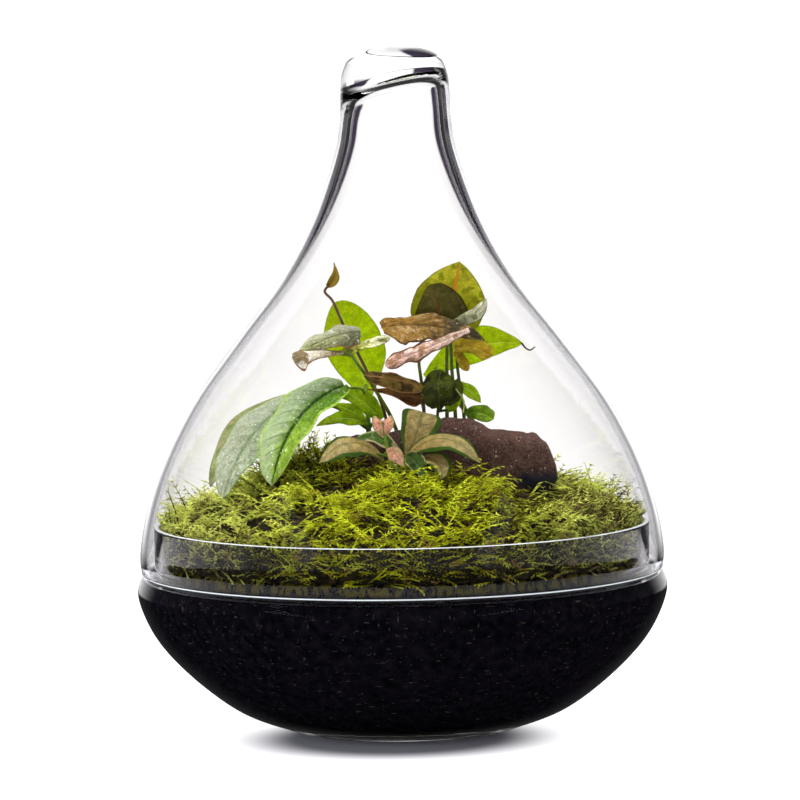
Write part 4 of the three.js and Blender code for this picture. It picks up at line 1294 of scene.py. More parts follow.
@dataclass
class Stone:
    """The long stone that lies in the moss, flat-sided, with a hump and a square right end.

    Its outlines top and bottom are pairs of x and z.
    """

    stations: int = 150
    around: int = 96
    top: tuple[Pair, ...] = (
        (-38.6, 125), (-38, 130), (-36, 134.5), (-30, 138), (-10, 140), (4, 141), (12, 143.8), (20, 146.5),
        (33, 146.5), (38, 144), (44, 141), (64, 138.5), (69, 134), (73, 125), (74.2, 118),
    )
    bottom: tuple[Pair, ...] = (
        (-38.6, 125), (-38, 119), (-35, 115.5), (0, 112), (30, 109), (66, 109), (71, 112), (74.2, 118),
    )
    middle_y: float = -8.0
    half_depth: float = 13.0
    squareness: float = 3.4
    finish: GranularStone = field(default_factory=GranularStone)

    def surface(self) -> Surface:
        """Set superellipse sections along x between the stone's upper and lower outline.

        A section is the curve |y / a|^n + |z / b|^n = 1 about the middle of the two outlines. It is thinner at
        the left and shrinks to a pole at either end. Layers of noise then move the points along their way out.

        Returns:
            The stone's surface.
        """
        share = 0.5 - 0.5 * np.cos(math.pi * (np.arange(self.stations) + 0.35) / (self.stations - 0.3))
        x = self.top[0][0] + (self.top[-1][0] - self.top[0][0]) * share
        high, low = (np.interp(x, *np.array(line).T) for line in (self.top, self.bottom))
        middle = (high + low) / 2
        ends = (1 - np.abs(2 * share - 1) ** 14) ** 0.45
        a = self.half_depth * (1 - 0.22 * (1 - smoothstep(0, 40, x))) * ends
        b = np.maximum((high - low) / 2, 0.2)
        angle = 2 * math.pi * np.arange(self.around) / self.around
        cosine, sine = np.cos(angle), np.sin(angle)
        power = self.squareness
        reach = (np.abs(cosine) ** power + np.abs(sine) ** power) ** (-1 / power)
        y = self.middle_y + a[:, None] * cosine * reach + 0.8 * np.sin(0.23 * x + 0.31 * (high + low) / 2)[:, None]
        z = middle[:, None] + b[:, None] * sine * reach
        rings = np.stack([np.broadcast_to(x[:, None], y.shape), y, z], axis=-1)
        poles = np.stack([rings[0].mean(axis=0), rings[-1].mean(axis=0)])
        points = np.vstack([rings.reshape(-1, 3), poles])
        axis_z = np.interp(points[:, 0], x, middle)
        axis = np.column_stack([points[:, 0], np.full(len(points), self.middle_y), axis_z])
        out = unit(points - axis + 1e-6)
        rough = 0.9 * smooth_noise(points, 11, 51) + 0.55 * smooth_noise(points, 4.2, 52)
        rough += 0.35 * smooth_noise(points, 2.0, 53) + 0.2 * np.abs(smooth_noise(points, 1.2, 54))
        points = points + out * (rough - 0.5)[:, None]
        return Surface.of(points, ring_faces(self.stations, self.around))

    def build(self) -> Piece:
        """Make the stone in place of its solid."""
        return placed(self.surface().piece("stone_long", [material_of(self.finish)]), "stone")


# Leaves


class Veins(Enum):
    """How a leaf's side veins run: how many pairs, how far each leans to the tip, and how it curves."""

    PINNATE = (9.0, 0.16, 1.0)
    PALMATE = (6.0, 0.42, 1.2)
    FAINT = (5.0, 0.2, 1.0)


@dataclass(frozen=True)
class LeafSkin:
    """A leaf's skin: a waxy face over thin green tissue that lets part of the light through.

    Attributes:
        name: The material's name.
        base: Colour near the stalk.
        tip: Colour near the tip.
        patch: Colour of the blotches, and of the painted sheen; pale blotches on the glossy skins are painted sheen
            too.
        patches: Share of the leaf under blotches.
        vein: Colour of midrib and side veins.
        vein_share: How strongly the veins show.
        margin: Colour of the edge.
        margin_width: Width of the edge, as a share of the half width.
        glow: Share of the light that the leaf scatters onward.
        through: Colour of the light that comes through.
        roughness: Low where the skin is shiny.
        gloss: Strength of the reflection, from 0.5 on a matt leaf to 4 on a wet one.
        veins: How the side veins run.
        spot: Colour of the small spots: the leaf's own marks where dark, painted glints where near white.
        spots: Share of the leaf under spots.
        depth: A factor on all of its colours: partly the tissue's own darkness, partly painted light or shade.
        sheen: Share of the half v > 0 that takes the patch colour as a painted sheen.
    """

    name: str
    base: str
    tip: str
    patch: str
    patches: float
    vein: str
    vein_share: float
    margin: str
    margin_width: float
    glow: float
    through: str
    roughness: float = 0.35
    gloss: float = 0.5
    veins: Veins = Veins.PINNATE
    spot: str = "2a1f16"
    spots: float = 0.0
    depth: float = 0.6
    sheen: float = 0.0

    def vein_mask(self, tree: Tree, along: Socket, across: Socket) -> Socket:
        """Draw the midrib and the side veins.

        Side veins are the lines where n (s - lean a^p) is a whole number, with s along the leaf and a from the
        midrib to the edge.

        Args:
            tree: The node tree.
            along: s, from 0 at the stalk to 1 at the tip.
            across: a, from 0 at the midrib to 1 at the edge.

        Returns:
            A value from 0 to 1.
        """
        pairs, lean, curve = self.veins.value
        bent = sum_of(tree, "MULTIPLY", sum_of(tree, "POWER", across, curve), lean)
        phase = sum_of(tree, "FRACT", sum_of(tree, "MULTIPLY", sum_of(tree, "SUBTRACT", along, bent), pairs))
        off = sum_of(tree, "ABSOLUTE", sum_of(tree, "SUBTRACT", phase, 0.5))
        side = sum_of(tree, "MULTIPLY", ranged(tree, off, 0.06, 0.015), ranged(tree, across, 0.95, 0.4))
        rib = ranged(tree, across, 0.10, 0.04)
        return sum_of(tree, "MAXIMUM", rib, sum_of(tree, "MULTIPLY", side, 0.6))

    def material(self) -> Material:
        """Mix the waxy face with the light from behind.

        The tissue has lighter and darker cells of 1 to 3 mm, which are drawn about ten times as coarse as real
        ones, and the face has a shallow relief with sunk veins.

        Returns:
            The material.
        """
        made, tree = new_material(self.name)
        along, from_edge = uv_axes(tree)[:2]
        across = sum_of(tree, "ABSOLUTE", sum_of(tree, "MULTIPLY_ADD", from_edge, 2.0, -1.0))
        cloud = object_noise(tree, 7.0, 3.0)
        drift = sum_of(tree, "ADD", along, sum_of(tree, "MULTIPLY_ADD", cloud, 0.8, -0.4))
        colour = blended(tree, ranged(tree, drift, 0.2, 0.85), self.base, self.tip)
        blotch = object_noise(tree, 4.0, 4.0)
        edge = 0.72 - 0.44 * self.patches
        colour = blended(tree, ranged(tree, blotch, edge - 0.05, edge + 0.06), colour, self.patch)
        for size, detail, shades in ((0.9, 3.0, (0.62, 1.3)), (3.2, 2.0, (0.74, 1.22))):
            colour = shaded(tree, colour, ranged(tree, object_noise(tree, size, detail), 0.3, 0.7, shades))
        # Painted sheen: one half of the leaf is blended toward the pale patch colour.
        if self.sheen > 0:
            half = sum_of(tree, "ADD", from_edge, sum_of(tree, "MULTIPLY_ADD", cloud, 0.3, -0.15))
            painted_sheen_share = sum_of(tree, "MULTIPLY", ranged(tree, half, 0.5, 0.72), self.sheen)
            colour = blended(tree, painted_sheen_share, colour, self.patch)
        veins = self.vein_mask(tree, along, across)
        colour = blended(tree, sum_of(tree, "MULTIPLY", veins, self.vein_share), colour, self.vein)
        wander = sum_of(tree, "MULTIPLY_ADD", object_noise(tree, 3.0), 0.16, -0.08)
        rim = 1 - self.margin_width
        rim = ranged(tree, sum_of(tree, "ADD", across, wander), rim - 0.03, rim + 0.03)
        # The depth factor darkens or brightens the whole leaf: partly its own tissue, partly painted light or shade.
        colour = shaded(tree, blended(tree, rim, colour, self.margin), self.depth)
        # Near-white spots are painted glints; darker spots are the leaf's own marks.
        if self.spots > 0:
            few = 0.81 - 0.3 * self.spots
            colour = blended(tree, ranged(tree, object_noise(tree, 1.0, 0.0), few, few + 0.03), colour, self.spot)
        relief = sum_of(tree, "SUBTRACT", sum_of(tree, "MULTIPLY", object_noise(tree, 1.2, 2.0), 0.5), veins)
        bump = add_node(tree, "Bump", {"Height": relief, "Strength": 0.6, "Distance": 0.0005})
        rubbed = (self.roughness * 0.7, self.roughness * 1.5)
        dull = ranged(tree, object_noise(tree, 2.0, 3.0), 0.35, 0.65, rubbed)
        face = add_node(tree, "BsdfPrincipled", {
            "Base Color": colour, "Roughness": dull, "Specular IOR Level": 0.3 * self.gloss,
            "Normal": bump.outputs[0],
        })
        return finished(made, leafy(tree, face, blended(tree, 0.45, self.through, colour), self.glow))


@dataclass(frozen=True)
class StalkSkin:
    """A stalk's skin: smooth, a little shiny, one colour with faint darker lengths."""

    name: str
    light: str
    dark: str
    glow: float = 0.2

    def material(self) -> Material:
        """Blend two tones along the stalk by noise.

        Returns:
            The material.
        """
        made, tree = new_material(self.name)
        tone = object_noise(tree, 9.0, 3.0, (1, 1, 0.4))
        colour = blended(tree, ranged(tree, tone, 0.35, 0.65), self.light, self.dark)
        face = add_node(tree, "BsdfPrincipled", {"Base Color": colour, "Roughness": 0.4})
        return finished(made, leafy(tree, face, colour, self.glow))


class Skin(Enum):
    """The leaf and stalk skins in the terrarium."""

    YELLOW_OLIVE = LeafSkin("arrowhead_leaf_yellow_olive", "8f9422", "b4b036", "6f7418", 0.35, "c2602c", 0.9,
        "6f6a22", 0.05, 0.62, "c8cc30", 0.35, 0.5, Veins.PALMATE, "c98a3a", 0.12, depth=0.85)
    # Its dark colour is partly painted shade, standing for the shadow seen in the yellow-olive leaf.
    DARK_OLIVE = LeafSkin("arrowhead_leaf_dark_olive", "5a5620", "67622a", "403e18", 0.35, "8b5a36", 0.5, "33310f",
        0.06, 0.4, "85802a", 0.4, 0.5, Veins.PALMATE)
    # Its pale whitish colour is partly a painted sheen on the folded lobe.
    GREY_FOLD = LeafSkin("arrowhead_leaf_grey_fold", "a2a27e", "c4c4a8", "74785a", 0.35, "6a6a4a", 0.4, "6a6a40", 0.1,
        0.3, "c0c4a0", 0.25, 1.6, Veins.PALMATE, depth=1.0)
    # Its whitish tip is a painted highlight, and its depth above one paints light onto it.
    GREY_STRIP = LeafSkin("arrowhead_leaf_turned_margin", "8d8468", "c8c4b8", "66583c", 0.4, "8a6a4c", 0.4, "6a4028",
        0.16, 0.25, "b8ac80", 0.22, 2.0, Veins.FAINT, "efeee6", 0.1, depth=1.4)
    BRONZE = LeafSkin("arrowhead_leaf_bronze", "a47c34", "4e4834", "b8985c", 0.3, "4a3626", 0.5, "40301e", 0.07, 0.35,
        "a8843c", 0.3, 1.4, Veins.PALMATE, "e8e2d0", 0.03, depth=0.7)
    ROSE = LeafSkin("arrowhead_leaf_rose_underside", "e2cabc", "dcbcb2", "a07c5c", 0.4, "a07468", 0.5, "5f3c2a", 0.2,
        0.4, "e0c0b0", 0.35, 1.0, Veins.PALMATE, depth=1.08)
    TAN = LeafSkin("arrowhead_leaf_tan", "c0ac3e", "b09a34", "9a8630", 0.35, "8a6a30", 0.5, "6a5422", 0.07, 0.6,
        "dcc848", 0.4, 0.5, Veins.PALMATE, "1c140e", 0.3, depth=0.92)
    # Its whitish patches are partly painted sheen.
    GREY_OLIVE = LeafSkin("arrowhead_leaf_grey_olive", "54563c", "8e9262", "b2b49c", 0.22, "5a5438", 0.4, "7a4c34",
        0.07, 0.25, "8a9050", 0.25, 2.2, Veins.PALMATE, "f0f0e6", 0.05, depth=1.05, sheen=0.45)
    # Its whitish tip is partly painted sheen, and its depth above one paints light onto it.
    STRAP = LeafSkin("arrowhead_leaf_strap", "b0b038", "d0d2a8", "66682c", 0.35, "6a6040", 0.3, "6a6430", 0.08, 0.35,
        "b8b860", 0.3, 1.2, Veins.FAINT, depth=1.4)
    BROWN = LeafSkin("arrowhead_leaf_brown", "a08434", "6a5626", "4a381a", 0.4, "c89058", 0.7, "b0804c", 0.1, 0.35,
        "a88a38", 0.4, 1.0, Veins.PALMATE, depth=0.5)
    BROWN_UNDER = LeafSkin("arrowhead_leaf_brown_underside", "6e4c26", "a87c44", "553818", 0.35, "b98a5c", 0.4,
        "c0945c", 0.12, 0.3, "a07838", 0.4, 0.5, Veins.PALMATE)
    DARK_GREEN = LeafSkin("arrowhead_leaf_dark_green", "566218", "6e7c20", "343c12", 0.4, "7c8034", 0.5, "363c16",
        0.06, 0.3, "6c7c24", 0.35, 1.4, Veins.PALMATE, "a6b04c", 0.1)
    BUD = LeafSkin("arrowhead_bud", "a8923a", "c2b050", "8a6a34", 0.3, "7a5a30", 0.4, "8a7030", 0.1, 0.5, "c8b050",
        0.4, 0.5, Veins.FAINT)
    LIME = LeafSkin("coffee_leaf_lime", "a6c00a", "a8b80c", "8cb00c", 0.25, "cfdc70", 0.5, "7c9410", 0.05, 0.7,
        "c4d40c", 0.3, 0.5, Veins.PINNATE, depth=0.82)
    # Coffee skins: pale grey-green colours and patches are partly painted sheen, near-white spots painted glints
    # of water drops, and the glossy skin's near-black vein partly painted shade in the midrib's groove.
    COFFEE = LeafSkin("coffee_leaf_glossy", "57801a", "8cac38", "b8c4a4", 0.12, "23480c", 0.95, "9cc040", 0.07, 0.3,
        "9cc030", 0.24, 4.0, Veins.PINNATE, "f4f8f2", 0.1, depth=0.85, sheen=0.6)
    SILVER = LeafSkin("coffee_leaf_painted_silver", "98a880", "aeb898", "c4c8b2", 0.2, "6a8a50", 0.5, "8fb86a", 0.06, 0.3,
        "9cb870", 0.26, 4.0, Veins.PINNATE, "f2f6f0", 0.08, depth=0.72, sheen=0.4)
    PALE_SILVER = LeafSkin("coffee_leaf_pale", "b4b478", "bab886", "94a468", 0.4, "9aa468", 0.4, "8a9a50", 0.06, 0.4,
        "d0d890", 0.3, 2.0, Veins.PINNATE, depth=0.62)
    MID_GREEN = LeafSkin("coffee_leaf_mid_green", "7c9c20", "8cae2c", "587c1c", 0.35, "b8cc68", 0.5, "4f7018", 0.1,
        0.45, "a8c828", 0.35, 1.0, Veins.PINNATE, depth=0.75)
    FRESH = LeafSkin("coffee_leaf_fresh", "98b40c", "a8c010", "6e940c", 0.35, "d8e684", 0.6, "6c9410", 0.07, 0.6,
        "bcd40c", 0.3, 1.0, Veins.PINNATE, depth=0.8)
    CREAM = LeafSkin("wax_leaf_cream", "c4a862", "cdb878", "b4a068", 0.3, "7c8c3c", 0.5, "406a20", 0.27, 0.35,
        "e0d490", 0.35, 1.2, Veins.FAINT, depth=0.5)
    GREEN_CREAM = LeafSkin("wax_leaf_green_cream", "3c6420", "547e30", "c8bc80", 0.3, "8a9a4c", 0.3, "d0c48c", 0.22,
        0.3, "90b050", 0.35, 1.2, Veins.FAINT, depth=0.5)
    WAX_UNDER = LeafSkin("wax_leaf_underside", "3c5420", "4c682c", "2a3c16", 0.3, "60783c", 0.3, "b8ac70", 0.1, 0.2,
        "6a8c40", 0.4, 0.8, Veins.FAINT)
    PINK = LeafSkin("wax_leaf_pink", "d8a088", "e0b298", "c08068", 0.3, "b07460", 0.5, "7a9a50", 0.08, 0.4, "f0c0a0",
        0.35, 0.9, Veins.FAINT, "6a8a3a", 0.4, depth=0.8)
    GREEN_STALK = StalkSkin("green_stalk", "74882c", "566c20")
    DARK_STALK = StalkSkin("dark_green_stalk", "5a6a20", "3c4a1a")
    BROWN_STALK = StalkSkin("brown_stalk", "5c4030", "3c2a26")
    PALE_STALK = StalkSkin("pale_stalk", "b8b070", "8f9448")


@dataclass(frozen=True)
class Blade:
    """One leaf blade on a curved midrib.

    The midrib is a quadratic Bezier curve from base to tip that passes through via at its middle. The half
    width rises from its start at the base by a sine to the peak and closes by a cosine to the tip, or follows
    its own shape. The halves fold up from the midrib by fold |v| and droop by v^2, the edges wave, and lobes
    sweep back by |v|^1.6 (1 - s)^3.

    Attributes:
        base: Where the blade starts.
        via: The midrib's middle.
        tip: Where it ends.
        width: Widest part.
        skin: Its upper skin.
        under: Its lower skin, where that differs.
        faces: The way that its upper side looks.
        peak: Where it is widest, from 0 to 1.
        start: Width at the base as a share of the widest.
        taper: Power of the closing curve; low is blunt.
        shape: Where it is lopsided, rows of a place along it and the left and right half widths there.
        fold: How steeply the halves rise from the midrib.
        droop: How much they bend back down.
        wave: Height of the edge's waves.
        waves: Number of waves.
        lobe: How far the lobes sweep back, as a share of the length.
        hold: Where along the rib its stalk joins.
        stalk: Points that its stalk passes before it joins.
        pucker: Depth of the valleys over the side veins.
        ragged: How much the outline wanders.
        fine: Rows and columns of the grid.
    """

    base: Point
    via: Point
    tip: Point
    width: float
    skin: Skin
    under: Skin | None = None
    faces: Point = (0, -1, 0.3)
    peak: float = 0.4
    start: float = 0.06
    taper: float = 0.8
    shape: tuple[Point, ...] = ()
    fold: float = 0.25
    droop: float = 0.1
    wave: float = 0.6
    waves: float = 2.0
    lobe: float = 0.0
    hold: float = 0.12
    stalk: tuple[Point, ...] = ()
    pucker: float = 0.12
    ragged: float = 0.03
    fine: tuple[int, int] = (44, 20)

    def rib(self, s: Array) -> tuple[Array, Array]:
        """Follow the midrib.

        Args:
            s: Places along it, from 0 at the base to 1 at the tip.

        Returns:
            The points and the unit directions there.
        """
        base, tip = np.array(self.base, float), np.array(self.tip, float)
        bend = 2 * np.array(self.via, float) - (base + tip) / 2
        s = np.asarray(s, float)[..., None]
        points = (1 - s) ** 2 * base + 2 * s * (1 - s) * bend + s ** 2 * tip
        return points, unit((1 - s) * (bend - base) + s * (tip - bend))

    def outline(self, s: Array, v: Array) -> Array:
        """Give the half width along the blade, as a share of the widest.

        Args:
            s: Places along the midrib.
            v: Negative for the left half and positive for the right one.

        Returns:
            The half widths.
        """
        if self.shape:
            rows = curve_through(self.shape, 6)
            left, right = (np.interp(s, rows[:, 0], rows[:, side]) for side in (1, 2))
            return np.maximum(np.where(v < 0, left, right), 0)
        rising = self.start + (1 - self.start) * np.sin(math.pi / 2 * np.clip(s / self.peak, 0, 1))
        closing = np.cos(math.pi / 2 * np.clip((s - self.peak) / (1 - self.peak), 0, 1)) ** self.taper
        return np.where(s < self.peak, rising, closing)

    def middle(self, s: Array, v: Array) -> Array:
        """Give the points of the blade's middle layer.

        Args:
            s: Places along the midrib.
            v: Places across, from -1 to 1.

        Returns:
            The points.
        """
        points, along = self.rib(s)
        side = unit(np.cross(along, np.array(self.faces, float)))
        up = np.cross(side, along)
        half = np.maximum(self.width / 2 * self.outline(s, v), 0.3)
        own = sum(map(abs, self.tip)) * 7.3
        places = np.stack([s * 9 + own, np.sign(v) * 5.0 + 0 * s, 0 * s], axis=-1)
        out = np.abs(v)
        coarse, fine = (smooth_noise(places, size, seed) for size, seed in ((1.0, 61), (0.4, 62)))
        half = half * (1 + self.ragged * coarse * out + self.ragged * 0.6 * fine * out)
        wave = self.wave * np.sin(2 * math.pi * self.waves * s + np.where(v > 0, 1.4, 0)) * v * v
        height = half * (self.fold * out - self.droop * v * v) + wave * np.sin(math.pi * s)
        pairs, lean, curve = self.skin.value.veins.value
        valley = np.abs(np.sin(math.pi * pairs * (s - lean * out ** curve))) ** 0.5
        height = height + self.pucker * valley * np.sin(math.pi * np.clip(out, 0, 1)) * smoothstep(0, 3, half)
        base, tip = np.array(self.base, float), np.array(self.tip, float)
        sweep = -self.lobe * np.linalg.norm(tip - base) * out ** 1.6 * (1 - s) ** 3
        _, start_way = self.rib(np.zeros(1))
        return points + side * (half * v)[..., None] + up * height[..., None] + start_way[0] * sweep[..., None]

    def surface(self, skins: list[Skin]) -> Surface:
        """Give the middle layer a thickness and close it round its edge.

        Each grid point moves by half of LEAF_THICKNESS along the normal of the middle layer, up for the upper
        skin and down for the lower one. The lower skin bulges into a ridge under the midrib.

        Args:
            skins: The plant's skins in the order of their material numbers.

        Returns:
            The closed blade.
        """
        rows, columns = self.fine
        s, v = np.linspace(0, 1, rows + 1), np.linspace(-1, 1, columns + 1)
        s = 0.55 * (0.5 - 0.5 * np.cos(math.pi * s)) + 0.45 * s
        v = 0.3 * np.sin(math.pi / 2 * v) + 0.7 * v
        grid_s, grid_v = np.meshgrid(s, v, indexing="ij")
        layer = self.middle(grid_s, grid_v)
        normal = unit(np.cross(np.gradient(layer, axis=1), np.gradient(layer, axis=0)))
        ridge = 0.3 * np.exp(-((grid_v * self.width / 2 / 0.55) ** 2)) * (1 - 0.7 * grid_s)
        upper = layer + normal * LEAF_THICKNESS / 2
        lower = layer - normal * (LEAF_THICKNESS / 2 + ridge)[..., None]
        width, count = columns + 1, (rows + 1) * (columns + 1)
        face = grid_faces(rows + 1, width, around=False)
        border = np.concatenate([
            np.arange(columns), np.arange(rows) * width + columns, rows * width + np.arange(columns, 0, -1),
            np.arange(rows, 0, -1) * width,
        ])
        after = np.roll(border, -1)
        rim = np.stack([after, border, border + count, after + count], axis=-1)
        pair = np.stack([grid_s, (grid_v + 1) / 2], axis=-1)
        faces = np.vstack([face, face[:, ::-1] + count, rim])
        whole = Surface.of(np.stack([upper, lower]), faces, np.stack([pair, pair]))
        whole.finish[:] = skins.index(self.skin)
        if self.under is not None:
            whole.finish[len(face):2 * len(face)] = skins.index(self.under)
        return whole


@dataclass(frozen=True)
class Twig:
    """A thin tail, hook or loose stalk along a smooth line, whose radius falls to the share end at its end."""

    path: tuple[Point, ...]
    radius: float
    skin: Skin
    end: float = 0.4

    def surface(self, skins: list[Skin]) -> Surface:
        """Carry the thinning round section along the line.

        Args:
            skins: The plant's skins in the order of their material numbers.

        Returns:
            The closed twig.
        """
        line = curve_through(self.path, 8)
        return tube(line, self.radius * np.linspace(1, self.end, len(line)), 8, skins.index(self.skin))


@dataclass(frozen=True)
class Plant:
    """One plant or shoot: a stem out of the soil that runs into its first blade, and further blades on stalks.

    Attributes:
        node: The solid that it takes the place of.
        slot: The material slot of that solid; not used.
        foot: Where it stands, as x and y.
        radius: Radius of its stem.
        stem: Points that the stem passes above the moss.
        blades: The leaf blades.
        bark: The stem's skin.
        twigs: Thin extras.
    """

    node: str
    slot: str
    foot: Pair
    radius: float
    stem: tuple[Point, ...]
    blades: tuple[Blade, ...]
    bark: Skin = Skin.GREEN_STALK
    twigs: tuple[Twig, ...] = ()

    def stem_line(self) -> Array:
        """Rise straight through soil and moss and then pass the stem's points to the first blade's midrib.

        Returns:
            Points along the stem.
        """
        x, y = self.foot
        moss = float(moss_top(np.array(x), np.array(y)))
        soil = float(soil_top(np.hypot(x, y)))
        held = self.blades[0].rib(np.array(self.blades[0].hold))[0]
        return curve_through([(x, y, soil - 13.7), (x, y, moss + 1.5), (x, y, moss + 6), *self.stem, held], 8)

    def build(self) -> Piece:
        """Make the plant in place of its solid.

        Returns:
            The plant's piece.
        """
        named = [self.bark, *(b.skin for b in self.blades), *(b.under for b in self.blades if b.under)]
        skins = list(dict.fromkeys([*named, *(t.skin for t in self.twigs)]))
        line = self.stem_line()
        parts = [tube(line, self.radius * np.linspace(1, 0.65, len(line)), 12, 0)]
        for blade in self.blades:
            parts.append(blade.surface(skins))
            if blade.stalk:
                held = blade.rib(np.array(blade.hold))[0]
                path = curve_through([*blade.stalk, held], 8)
                parts.append(tube(path, 0.8 * np.linspace(1, 0.7, len(path)), 10, 0))
        parts.extend(twig.surface(skins) for twig in self.twigs)
        materials = [material_of(skin.value) for skin in skins]
        return placed(Surface.joined(parts).piece(f"{self.node}_grown", materials, 60), self.node)


